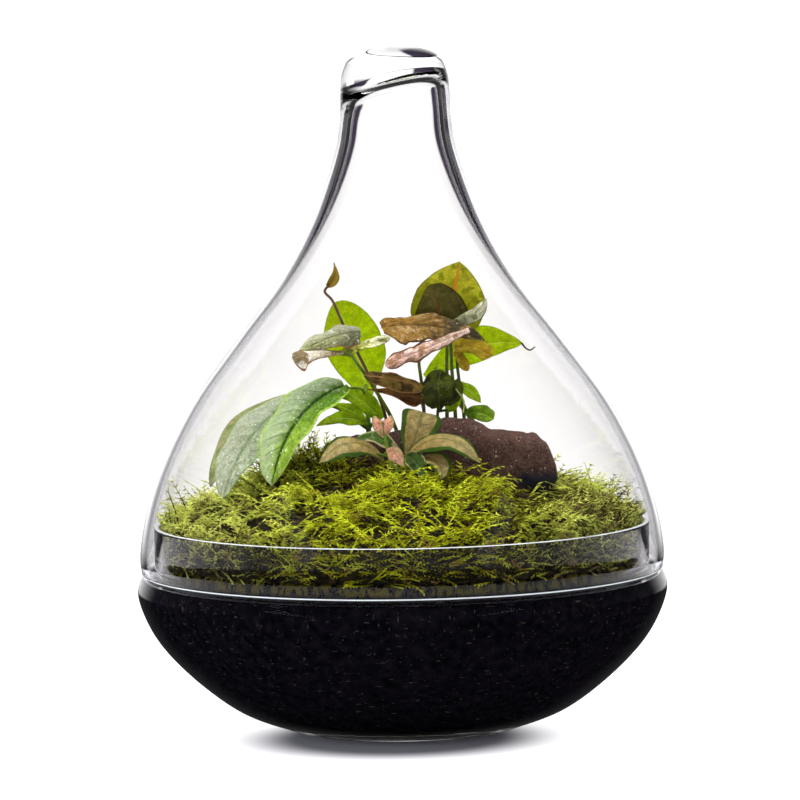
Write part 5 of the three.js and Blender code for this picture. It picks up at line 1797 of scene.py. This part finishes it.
ARROWHEAD = (
    Plant("arrowhead_leaf_top", "leaf_olive", (27, 15), 1.1, ((26, 11.5, 155), (25, 8, 168), (24.5, 9.5, 184)), (
        Blade((22.5, 8, 188), (26, 5.5, 203.5), (29.5, 8, 220.5), 37, Skin.YELLOW_OLIVE, faces=(-0.12, -1, 0.1),
            fold=0.1, droop=-0.1, wave=0.8, ragged=0.012, fine=(60, 32),
            shape=((0, 0.85, 0.5), (0.17, 0.98, 0.8), (0.34, 0.98, 0.9), (0.5, 0.93, 0.88), (0.66, 0.77, 0.71),
            (0.8, 0.56, 0.49), (0.92, 0.27, 0.24), (1, 0, 0))),
    ), Skin.DARK_STALK),
    Plant("arrowhead_leaf_back", "leaf_olive", (11, 18), 1,
          ((11.5, 12, 148), (10.5, 1, 162), (9.5, -2, 175), (13, 0, 185)), (
        Blade((18.5, 1, 187), (18.5, -1, 198), (14, -0.5, 209), 29, Skin.DARK_OLIVE, faces=(-0.1, -1, 0.15), wave=0.4,
            fold=0.05, droop=0, ragged=0.02, hold=0.05, fine=(48, 24),
            shape=((0, 0.75, 0.9), (0.33, 0.8, 1), (0.6, 0.66, 0.85), (0.8, 0.45, 0.62), (0.93, 0.2, 0.42),
            (1, 0, 0.1))),
        Blade((25.5, -1.5, 192), (35, -4.5, 195.5), (41.5, -3, 202.5), 7, Skin.GREY_FOLD, faces=(0.1, -0.9, 0.3),
            wave=0.3, fold=-0.3, ragged=0.05, stalk=((13, 0, 185), (20, -2.5, 189)),
            shape=((0, 0.5, 0.5), (0.3, 0.8, 1), (0.6, 0.6, 1.1), (0.85, 0.4, 0.7), (1, 0, 0))),
    ), Skin.DARK_STALK),
    Plant("arrowhead_leaf_broad", "leaf_bronze", (22, 9.5), 1.1, ((22.5, 3, 160), (22.5, 0, 172), (22.5, -6, 182)), (
        Blade((-8, -14, 190), (15.5, -9, 190), (40.5, -10, 183), 19, Skin.BRONZE, faces=(-0.05, -0.72, 0.62),
            wave=0.9, waves=2.5, fold=0.12, droop=0.1, hold=0.6, ragged=0.12, pucker=0.8, fine=(80, 32),
            shape=((0, 0.3, 0.4), (0.07, 0.5, 0.8), (0.17, 0.5, 1.1), (0.3, 0.6, 1.1), (0.5, 0.7, 0.85),
            (0.7, 0.66, 0.5), (0.86, 0.5, 0.25), (1, 0, 0))),
        Blade((33, -13.5, 188.5), (14.5, -17.5, 181), (-6.5, -22, 173), 5.6, Skin.ROSE, faces=(0.3, -0.85, 0.3),
            wave=1.2, waves=2.5, hold=0.3, fold=-0.25, ragged=0.28, pucker=0.7, fine=(64, 14),
            stalk=((22.5, -6, 182),),
            shape=((0, 0.4, 0.4), (0.2, 0.8, 0.8), (0.5, 1.05, 1.1), (0.8, 1.25, 1.15), (0.94, 0.85, 1),
            (1, 0.2, 0.2))),
    ), Skin.DARK_STALK),
    Plant("arrowhead_leaf_tan", "leaf_tan", (32, 9.5), 1, ((30, 7, 150), (27.5, 3.5, 171)), (
        Blade((26, 2, 179.5), (35, 0, 179.5), (44, 0, 175), 9, Skin.TAN, faces=(0, -0.8, 0.5), wave=0.5, ragged=0.08,
            hold=0.08,
            shape=((0, 0.8, 0.8), (0.25, 0.9, 0.9), (0.5, 0.8, 1), (0.75, 0.95, 1.05), (0.9, 0.8, 0.85),
            (1, 0.15, 0.15))),
        Blade((27, 2, 177.5), (29.5, 0.5, 173), (32.5, 0, 168), 5.4, Skin.TAN, faces=(0.2, -0.9, 0.3), wave=0.3,
            ragged=0.06, hold=0.2, stalk=((27.5, 3.5, 171),),
            shape=((0, 0.7, 0.7), (0.4, 1, 0.9), (0.75, 0.9, 0.9), (0.92, 0.6, 0.6), (1, 0.1, 0.1))),
    ), Skin.DARK_STALK),
    Plant("arrowhead_leaf_left", "leaf_grey", (2, 10), 1.1,
          ((-4, 4, 146), (-10, -2, 157.5), (-16, -8, 167.5), (-22, -14.5, 177)), (
        Blade((-18, -14, 188), (-30, -17, 186.5), (-46.5, -20, 179.5), 18, Skin.GREY_OLIVE, faces=(-0.1, -0.72, 0.62),
            fold=0.1, droop=0.2, wave=1, waves=2.5, hold=0.4, ragged=0.08, pucker=0.8, fine=(64, 28),
            shape=((0, 0.25, 0.25), (0.12, 0.85, 0.45), (0.3, 0.9, 0.66), (0.5, 0.75, 0.62), (0.7, 0.45, 0.6),
            (0.86, 0.28, 0.45), (1, 0.05, 0.1))),
        Blade((-26, -18, 179), (-37.5, -21, 179), (-50, -22, 178), 13, Skin.GREY_STRIP, faces=(-0.1, -0.85, 0.4),
            fold=-0.15, wave=0.4, hold=0.1, ragged=0.04, fine=(56, 18), stalk=((-22, -14.5, 177),),
            shape=((0, 0.12, 0.1), (0.25, 0.28, 0.22), (0.5, 0.4, 0.36), (0.7, 0.7, 0.42), (0.81, 1.15, 0.4),
            (0.92, 0.8, 0.3), (1, 0.2, 0.15))),
        Blade((-27.5, -16, 178), (-18.5, -12.5, 181), (-4, -9, 185), 5.6, Skin.STRAP, faces=(0.2, -0.7, 0.7),
            wave=0.4, hold=0.2, ragged=0.08, stalk=((-22, -14.5, 177),),
            shape=((0, 0.5, 0.5), (0.3, 0.9, 0.9), (0.6, 0.8, 0.8), (0.8, 1, 1), (0.93, 0.8, 0.8), (1, 0.1, 0.1))),
    ), Skin.GREEN_STALK),
    Plant("arrowhead_leaf_low", "leaf_bronze", (12, 8.5), 1.1, ((11.5, 2, 148), (10.5, -8, 154.5)), (
        Blade((11, -14, 162), (-2.5, -19, 166), (-16.5, -20, 168), 10, Skin.BROWN, faces=(0, -0.78, 0.62), fold=-0.15,
            droop=0.3, wave=0.7, ragged=0.06, pucker=0.2, hold=0.1, fine=(56, 24),
            shape=((0, 0.4, 0.3), (0.15, 0.85, 0.7), (0.4, 0.95, 0.85), (0.7, 0.8, 0.9), (0.88, 0.55, 0.8),
            (1, 0.1, 0.1))),
        Blade((11, -12, 156.5), (1, -15, 158.5), (-15, -17, 161.5), 9, Skin.BROWN_UNDER, faces=(0.1, -0.9, 0.1),
            fold=-0.2, wave=0.4, ragged=0.06, stalk=((10.5, -8, 154.5),),
            shape=((0, 0.6, 0.3), (0.2, 1, 0.5), (0.45, 0.7, 0.6), (0.7, 0.25, 0.5), (0.88, 0.12, 0.2), (1, 0, 0))),
    ), Skin.BROWN_STALK),
    Plant("arrowhead_leaf_dark", "leaf_dark", (17, 13), 1, ((18, 4, 149),), (
        Blade((19, -1, 151.5), (18.5, -4, 161), (19.5, -3, 169), 17, Skin.DARK_GREEN, faces=(0.1, -1, 0.2), fold=0.2,
            wave=0.6, ragged=0.05, hold=0.1,
            shape=((0, 0.5, 0.5), (0.2, 0.85, 0.8), (0.5, 0.95, 0.9), (0.75, 0.75, 0.8), (0.92, 0.4, 0.45),
            (1, 0, 0))),
        Blade((22, 0, 153.5), (25.5, -1, 158.5), (27.5, 0, 164.5), 9, Skin.DARK_GREEN, faces=(0.1, -0.9, 0.3),
            wave=0.5, ragged=0.05, stalk=((18, 4, 149),),
            shape=((0, 0.6, 0.6), (0.5, 0.8, 1), (0.8, 0.5, 0.7), (1, 0, 0))),
        Blade((22, 3, 148.5), (25.5, 1, 152.5), (29.5, 1, 155), 5.5, Skin.FRESH, faces=(0, -0.9, 0.3), pucker=0.2,
            ragged=0.04, stalk=((18, 4, 149),)),
    ), Skin.DARK_STALK, (Twig(((26.6, -4, 160), (30.3, -8, 154.4), (29.7, -9, 149.3)), 0.4, Skin.PALE_STALK, 0.8),)),
    Plant("arrowhead_leaf_new", "leaf_tan", (-4, 17), 0.9,
          ((-8, 15, 150), (-19, 12, 175), (-26.5, 12, 190.5), (-31.5, 14, 202), (-35, 15, 206.5)), (
        Blade((-34, 15, 209), (-30.5, 15, 213.5), (-30.5, 15.5, 220.5), 5, Skin.BUD, faces=(0.3, -1, 0), fold=0.7,
            wave=0, pucker=0, ragged=0, fine=(24, 10),
            shape=((0, 0.35, 0.35), (0.25, 0.9, 0.9), (0.45, 0.95, 1), (0.7, 0.5, 0.6), (0.88, 0.2, 0.25),
            (1, 0, 0))),
    ), Skin.BROWN_STALK),
)

COFFEE = (
    Plant("coffee_stem_left", "leaf_green", (-14, 10), 1.6, ((-15, 12, 140), (-15.5, 16, 150)), (
        Blade((-15, 19, 154.5), (-21.5, 27, 178), (-31, 26, 200), 28, Skin.LIME, faces=(0.1, -1, 0.1), wave=0.8,
            pucker=0.6, ragged=0.015, fine=(72, 30),
            shape=((0, 0.12, 0.12), (0.18, 0.62, 0.6), (0.38, 0.9, 1), (0.58, 1, 1), (0.8, 0.72, 0.8),
            (0.92, 0.4, 0.55), (0.98, 0.15, 0.3), (1, 0, 0.05))),
        Blade((-26, -8, 162.5), (-48, -26, 147.5), (-59.5, -43, 119.5), 26, Skin.COFFEE, faces=(-0.5, -0.72, 0.48),
            fold=0.5, droop=0.25, wave=1.2, waves=3, pucker=0.9, ragged=0.02, fine=(88, 40),
            stalk=((-15.5, 16, 150), (-18, 4, 160)),
            shape=((0, 0.35, 0.35), (0.12, 0.85, 0.8), (0.3, 1, 0.98), (0.5, 1, 1), (0.7, 0.85, 0.93),
            (0.86, 0.55, 0.66), (0.96, 0.22, 0.3), (1, 0, 0))),
        Blade((-47, -2, 156), (-68.5, -18, 141), (-82.5, -36, 113), 27, Skin.SILVER, faces=(-0.55, -0.62, 0.55),
            fold=0.4, droop=0.3, wave=1.1, waves=2.5, pucker=0.8, ragged=0.02, fine=(80, 36),
            stalk=((-15, 12, 140), (-32, 6, 152)),
            shape=((0, 0.3, 0.3), (0.15, 0.8, 0.75), (0.4, 1, 1), (0.65, 0.9, 1), (0.85, 0.5, 0.65), (0.96, 0.2, 0.3),
            (1, 0, 0))),
        Blade((-46, 6, 157.5), (-73, -2, 143), (-89.5, -14, 116.5), 22, Skin.PALE_SILVER, faces=(-0.5, -0.5, 0.7),
            peak=0.45, fold=0.2, wave=1, pucker=0.6, ragged=0.02, fine=(64, 28),
            stalk=((-15.5, 16, 150), (-32, 10, 157))),
        Blade((-9, 11, 145), (-17, 8, 153), (-27, 7, 159), 10, Skin.FRESH, faces=(-0.1, -0.95, 0.3), pucker=0.3,
            ragged=0.05, fine=(48, 20), stalk=((-15, 12, 140),),
            shape=((0, 0.3, 0.3), (0.25, 0.7, 0.9), (0.5, 0.8, 1.1), (0.8, 0.6, 0.9), (0.95, 0.3, 0.4), (1, 0, 0))),
        Blade((-15.5, 8, 143), (-23, 5, 149.5), (-31, 3, 153), 6.5, Skin.FRESH, faces=(0, -0.9, 0.4), pucker=0.25,
            ragged=0.05, stalk=((-15, 12, 140),)),
        Blade((-16, 6, 143), (-27, 1, 146.5), (-39.5, -3, 143.5), 7.5, Skin.FRESH, faces=(0, -0.8, 0.6), pucker=0.25,
            ragged=0.05, stalk=((-15, 12, 140),)),
    ), Skin.GREEN_STALK),
    Plant("coffee_stem_right", "leaf_green", (38, 16), 1.5, ((36, 17, 140), (25, 21, 156)), (
        Blade((12, 22, 164), (35, 25, 177), (59.5, 24, 179.5), 19, Skin.LIME, faces=(0.05, -0.95, 0.3), wave=0.8,
            fold=0.2, droop=0.05, pucker=0.5, ragged=0.02, fine=(72, 30),
            shape=((0, 0.1, 0.1), (0.2, 0.5, 0.5), (0.4, 0.85, 0.8), (0.55, 1, 0.85), (0.7, 0.88, 0.7),
            (0.85, 0.5, 0.45), (0.95, 0.2, 0.25), (1, 0, 0))),
        Blade((26.5, 14, 159.5), (32.5, 13, 158), (38.5, 12, 152), 6.5, Skin.FRESH, faces=(0.1, -0.9, 0.5),
            pucker=0.2, ragged=0.04, stalk=((36, 17, 140), (31, 16.5, 150)),
            shape=((0, 0.3, 0.3), (0.25, 0.8, 0.9), (0.6, 0.9, 1), (0.85, 0.6, 0.6), (1, 0.05, 0.05))),
        Blade((31.5, 16, 146.5), (38, 14, 147), (44.5, 13, 144), 8, Skin.MID_GREEN, faces=(0, -0.9, 0.4), pucker=0.2,
            ragged=0.04, stalk=((36, 17, 140),),
            shape=((0, 0.3, 0.3), (0.25, 0.8, 0.8), (0.6, 1, 1), (0.85, 0.9, 0.8), (1, 0.1, 0.1))),
    ), Skin.GREEN_STALK, (
        Twig(((59, 24, 179.5), (61, 23.5, 177), (63, 23, 176.2), (65.5, 23, 177.8)), 0.5, Skin.BROWN_STALK, 0.6),
    )),
)

WAX_PLANT = (
    Plant("wax_sprig", "leaf_cream", (3, -29), 1.3, ((3.5, -28, 128),), (
        Blade((3, -29, 130.5), (7.5, -27, 140.5), (11, -24, 151), 20, Skin.CREAM, faces=(0.05, -1, 0.1), fold=0.2,
            wave=0.5, ragged=0.02, fine=(56, 26),
            shape=((0, 0.15, 0.15), (0.25, 0.5, 0.4), (0.5, 0.78, 0.66), (0.75, 0.92, 0.88), (0.9, 0.98, 0.95),
            (0.97, 0.85, 0.85), (1, 0.4, 0.5))),
        Blade((3, -30, 131), (20.5, -39, 139.5), (36.5, -46, 129), 13.5, Skin.CREAM, under=Skin.WAX_UNDER,
            faces=(0.1, -0.62, 0.78), fold=0.12, droop=0.3, wave=1.1, waves=1.5, ragged=0.02, fine=(60, 26),
            stalk=((3.5, -28, 128),),
            shape=((0, 0.15, 0.15), (0.25, 0.75, 0.75), (0.5, 1, 1), (0.75, 0.7, 0.75), (0.92, 0.3, 0.35),
            (1, 0, 0))),
        Blade((9.5, -34, 130.5), (17.5, -40, 128), (18.5, -45, 121.5), 12, Skin.CREAM, under=Skin.WAX_UNDER,
            faces=(0.3, -0.7, 0.5), peak=0.4, fold=0.4, wave=0.6, ragged=0.02, stalk=((3.5, -28, 128),)),
        Blade((-8, -30, 129), (-22.5, -36, 138), (-37.5, -40, 129.5), 14, Skin.CREAM, under=Skin.WAX_UNDER,
            faces=(0, -0.62, 0.78), fold=0.12, droop=0.3, wave=1.1, waves=1.5, ragged=0.02, fine=(60, 26),
            stalk=((3.5, -28, 128),),
            shape=((0, 0.15, 0.15), (0.25, 0.65, 0.7), (0.5, 1, 0.9), (0.75, 0.9, 0.75), (0.92, 0.5, 0.4),
            (1, 0, 0))),
        Blade((0, -28, 131), (-9.5, -27, 139), (-20.5, -27, 139), 8, Skin.GREEN_CREAM, faces=(0, -0.7, 0.7), peak=0.5,
            ragged=0.02, stalk=((3.5, -28, 128),)),
        Blade((2.5, -32, 131.5), (7, -37, 129), (11, -41, 121.5), 9, Skin.WAX_UNDER, faces=(-0.1, -0.8, 0.5),
            peak=0.45, fold=0.3, ragged=0.02, stalk=((3.5, -28, 128),)),
    ), Skin.GREEN_STALK),
    Plant("wax_young_shoot", "leaf_pink", (-2, -38), 1.1, ((-4, -38, 128), (-6.5, -38, 138)), (
        Blade((-8, -37, 148.5), (-8, -38, 145), (-8, -37.5, 140.5), 10.5, Skin.PINK, faces=(0, -1, 0.2), peak=0.25,
            start=0.75, taper=0.9, lobe=0.3, fold=0.3, wave=0, fine=(28, 20)),
        Blade((-6.5, -39, 135), (-2, -41, 132.5), (1, -42, 127.5), 7, Skin.PINK, faces=(-0.3, -0.9, 0.3), wave=0.3,
            fine=(24, 16), stalk=((-4, -38, 128),)),
    ), Skin.GREEN_STALK),
)


# Studio

LIT_MIDDLE = Vector((0, 0, 0.12))


@dataclass(frozen=True)
class SoftBox:
    """A flat lamp with a white front that looks at the object.

    Attributes:
        name: The lamp's name.
        place: Its middle.
        size: Width and height.
        light: Its brightness, where a white wall has about 1.
        mirrored: True where glass and wet leaves show it.
    """

    name: str
    place: Point
    size: Pair
    light: float
    mirrored: bool

    def build(self) -> Piece:
        """Hang the lamp. Its power is pi times its area times its brightness.

        Returns:
            The lamp.
        """
        data = bpy.data.lights.new(self.name, "AREA")
        data.shape = "RECTANGLE"
        data.size, data.size_y = self.size[0] * MM, self.size[1] * MM
        data.energy = math.pi * data.size * data.size_y * self.light
        made = bpy.data.objects.new(self.name, data)
        bpy.context.scene.collection.objects.link(made)
        made.location = Vector(self.place) * MM
        upright = "Z" if self.place[0] else "Y"
        made.rotation_euler = (LIT_MIDDLE - made.location).to_track_quat("-Z", upright).to_euler()
        made.visible_camera = made.visible_transmission = False
        made.visible_glossy = self.mirrored
        return made


@dataclass(frozen=True)
class Studio:
    """A pale table top in a white room with eight dark cloths, which draw the glass's edges.

    Attributes:
        floor_radius: How far the table top reaches.
        floor: Colour of its own glow, a painted light that makes it white without lamps.
        matt: Colour that its surface gives back: a bluish grey that sets the painted shadow's depth and tint.
        painted_shadow_middle: Middle of the painted shadow, the round under the foot where its glow is off, as x and
            y.
        painted_shadow_width: Width of that round, where 1 is as wide as deep.
        painted_glow_from: How far from that middle its painted glow begins and where it is full.
        wall: Light of the white room.
        cloth: Colour of a dark cloth.
        cloth_from: Degrees from the middle of a wall to a cloth's near edge.
        cloth_to: Degrees to its far edge.
        cloth_top: Elevation in degrees of its upper edge.
        cloth_foot: The same for its lower edge, which is under the table top's height.
        mirror_back: How far back a mirrored direction points, as its y, where the room turns from dark to white.
        mirror_table: How high it points, as its z, where the room turns from the dark table to the wall.
        mirror_dark: What the dark front of the room and the table send to a mirroring surface.
        fill: What the room's walls give to matt surfaces, as a share of their white.
        lamps: The lamps.
        lens: Focal length on a 36 mm sensor.
        stand: Where the camera stands.
        aim: The point in the middle of its picture.
        roll: Degrees by which the picture is turned.
    """

    floor_radius: float = 600.0
    floor: str = "fafafa"
    matt: str = "75757f"
    painted_shadow_middle: Pair = (-3.0, -40.0)
    painted_shadow_width: float = 1 / 0.9
    painted_glow_from: Pair = (42.0, 74.0)
    wall: float = 1.16
    cloth: str = "40384a"
    cloth_from: float = 16.0
    cloth_to: float = 37.0
    cloth_top: float = 20.0
    cloth_foot: float = -8.0
    mirror_back: Pair = (0.72, 0.985)
    mirror_table: Pair = (-0.13, -0.05)
    mirror_dark: float = 0.03
    fill: float = 0.45
    lamps: tuple[SoftBox, ...] = (
        SoftBox("soft_box_overhead", (0, -150, 1500), (1100, 1100), 13.5, False),
        SoftBox("soft_box_left", (-1700, -900, 520), (1400, 900), 10.0, False),
        SoftBox("soft_box_right", (1700, -900, 520), (1400, 900), 5.0, False),
        SoftBox("soft_box_back_left", (-1500, 1500, 620), (1400, 900), 17.0, False),
        SoftBox("soft_box_back_right", (1500, 1500, 620), (1400, 900), 13.0, False),
        SoftBox("window_left", (-1300, -1100, 700), (260, 900), 0.9, True),
        SoftBox("window_right", (1200, -1300, 700), (260, 900), 0.9, True),
    )
    lens: float = 229.18
    stand: Point = (0.15, -2400, 361.18)
    aim: Point = (0.15, 0, 155.14)
    roll: float = 0.9

    def table_top(self) -> Piece:
        """Lay a round table top under the foot that glows with painted light, except a painted shadow round the foot.

        Returns:
            The table top.
        """
        made, tree = new_material("painted_glow_table_top")
        matt = add_node(tree, "BsdfDiffuse", {"Color": linear(self.matt)})
        # Painted shadow: the table top's own glow is off in an oval round the foot, where its bluish matt colour
        # shows.
        x, y = self.painted_shadow_middle
        place = add_node(tree, "Mapping", {
            "Vector": add_node(tree, "TexCoord").outputs["Object"], "Location": (-x * MM, -y * MM, 0),
            "Scale": (1 / self.painted_shadow_width, 1, 0),
        })
        away = add_node(tree, "VectorMath", {0: place.outputs[0]}, operation="LENGTH").outputs["Value"]
        light = ranged(tree, away, *(radius * MM for radius in self.painted_glow_from))
        painted_light = add_node(tree, "Emission", {"Color": linear(self.floor), "Strength": light})
        finished(made, add_node(tree, "AddShader", {0: matt.outputs[0], 1: painted_light.outputs[0]}))
        profile = np.array([(0, -40), (self.floor_radius, -40), (self.floor_radius, 0), (0, 0)], float)
        table_top = turned(profile, 96).piece("table_top", [made], 30)
        table_top.visible_glossy = False
        return table_top

    def tent(self) -> None:
        """Surround the scene by white walls with dark cloths.

        Four walls face the object. The direction's turn from the middle of the nearest wall, from 0 to 45
        degrees, parts the cloths from the white. The direction's height, the sine of its elevation, ends them.
        Light that a glossy surface has sent back comes from a darker room: only its back wall is white, and
        the table in it is dark, so that neither the bowl nor a leaf behind the dome is veiled.
        """
        world = bpy.data.worlds.new("studio_room")
        bpy.context.scene.world = world
        world.use_nodes = True
        tree = world.node_tree
        tree.nodes.clear()
        way = add_node(tree, "SeparateXYZ", {0: add_node(tree, "TexCoord").outputs["Generated"]})
        turn = sum_of(tree, "ARCTAN2", way.outputs[1], way.outputs[0])
        quarter = sum_of(tree, "PINGPONG", turn, math.pi / 4)
        soft = math.radians(1.5)
        near, far = math.radians(self.cloth_from), math.radians(self.cloth_to)
        height = way.outputs[2]
        top, foot = (math.sin(math.radians(edge)) for edge in (self.cloth_top, self.cloth_foot))
        in_cloth = ranged(tree, quarter, near - soft, near + soft)
        for value, outside, inside in (
            (quarter, far + soft, far - soft), (height, top + 0.05, top - 0.05), (height, foot - 0.03, foot + 0.03),
        ):
            in_cloth = sum_of(tree, "MULTIPLY", in_cloth, ranged(tree, value, outside, inside))
        colour = blended(tree, in_cloth, "ffffff", self.cloth)
        to_white = (self.mirror_dark, 1.0)
        back_wall = ranged(tree, way.outputs[1], *self.mirror_back, to_white)
        over_table = ranged(tree, height, *self.mirror_table, to_white)
        mirrored = sum_of(tree, "MULTIPLY", back_wall, over_table)
        rays = add_node(tree, "LightPath").outputs
        once_sent_back = sum_of(tree, "GREATER_THAN", rays["Glossy Depth"], 0.5)
        just_sent_back = sum_of(tree, "GREATER_THAN", rays["Is Glossy Ray"], rays["Is Transmission Ray"])
        colour = blended(tree, once_sent_back, colour, shaded(tree, colour, mirrored))
        colour = blended(tree, just_sent_back, colour, grey(tree, mirrored))
        colour = blended(tree, rays["Is Diffuse Ray"], colour, grey(tree, self.fill))
        background = add_node(tree, "Background", {"Color": colour, "Strength": self.wall})
        add_node(tree, "OutputWorld", {"Surface": background.outputs[0]})

    def camera(self) -> None:
        """Stand the camera where the photograph was taken from, with the same small roll."""
        data = bpy.data.cameras.new("camera")
        data.lens, data.sensor_width = self.lens, 36.0
        data.clip_start, data.clip_end = 0.05, 100.0
        made = bpy.data.objects.new("camera", data)
        bpy.context.scene.collection.objects.link(made)
        stand, aim = Vector(self.stand) * MM, Vector(self.aim) * MM
        forward = (aim - stand).normalized()
        right = forward.cross(Vector((0, 0, 1))).normalized()
        up = right.cross(forward)
        turn = math.radians(self.roll)
        turned_right = right * math.cos(turn) - up * math.sin(turn)
        turned_up = up * math.cos(turn) + right * math.sin(turn)
        axes = Matrix((turned_right, turned_up, -forward)).transposed().to_4x4()
        made.matrix_world = Matrix.Translation(stand) @ axes
        bpy.context.scene.camera = made

    def build(self) -> Piece:
        """Set up light, camera and render depths.

        Returns:
            The table top.
        """
        self.tent()
        self.camera()
        for lamp in self.lamps:
            lamp.build()
        scene = bpy.context.scene
        cycles = scene.cycles
        cycles.max_bounces, cycles.transmission_bounces, cycles.transparent_max_bounces = 32, 32, 32
        cycles.diffuse_bounces, cycles.glossy_bounces = 6, 12
        cycles.caustics_reflective = cycles.caustics_refractive = False
        cycles.use_denoising = True
        scene.view_settings.view_transform = "Standard"
        return self.table_top()


def main() -> None:
    logging.basicConfig(level=logging.INFO, format="%(name)s: %(message)s")
    table_top = Studio().build()
    pieces = [GlassBowl().build(), GlassDome().build(), Soil().build(), *Moss().build(), Stone().build()]
    pieces.extend(plant.build() for plant in (*ARROWHEAD, *COFFEE, *WAX_PLANT))
    for piece in pieces:
        LOG.info("%s: %d faces", piece.name, len(piece.data.polygons))


if __name__ == "__main__":
    main()
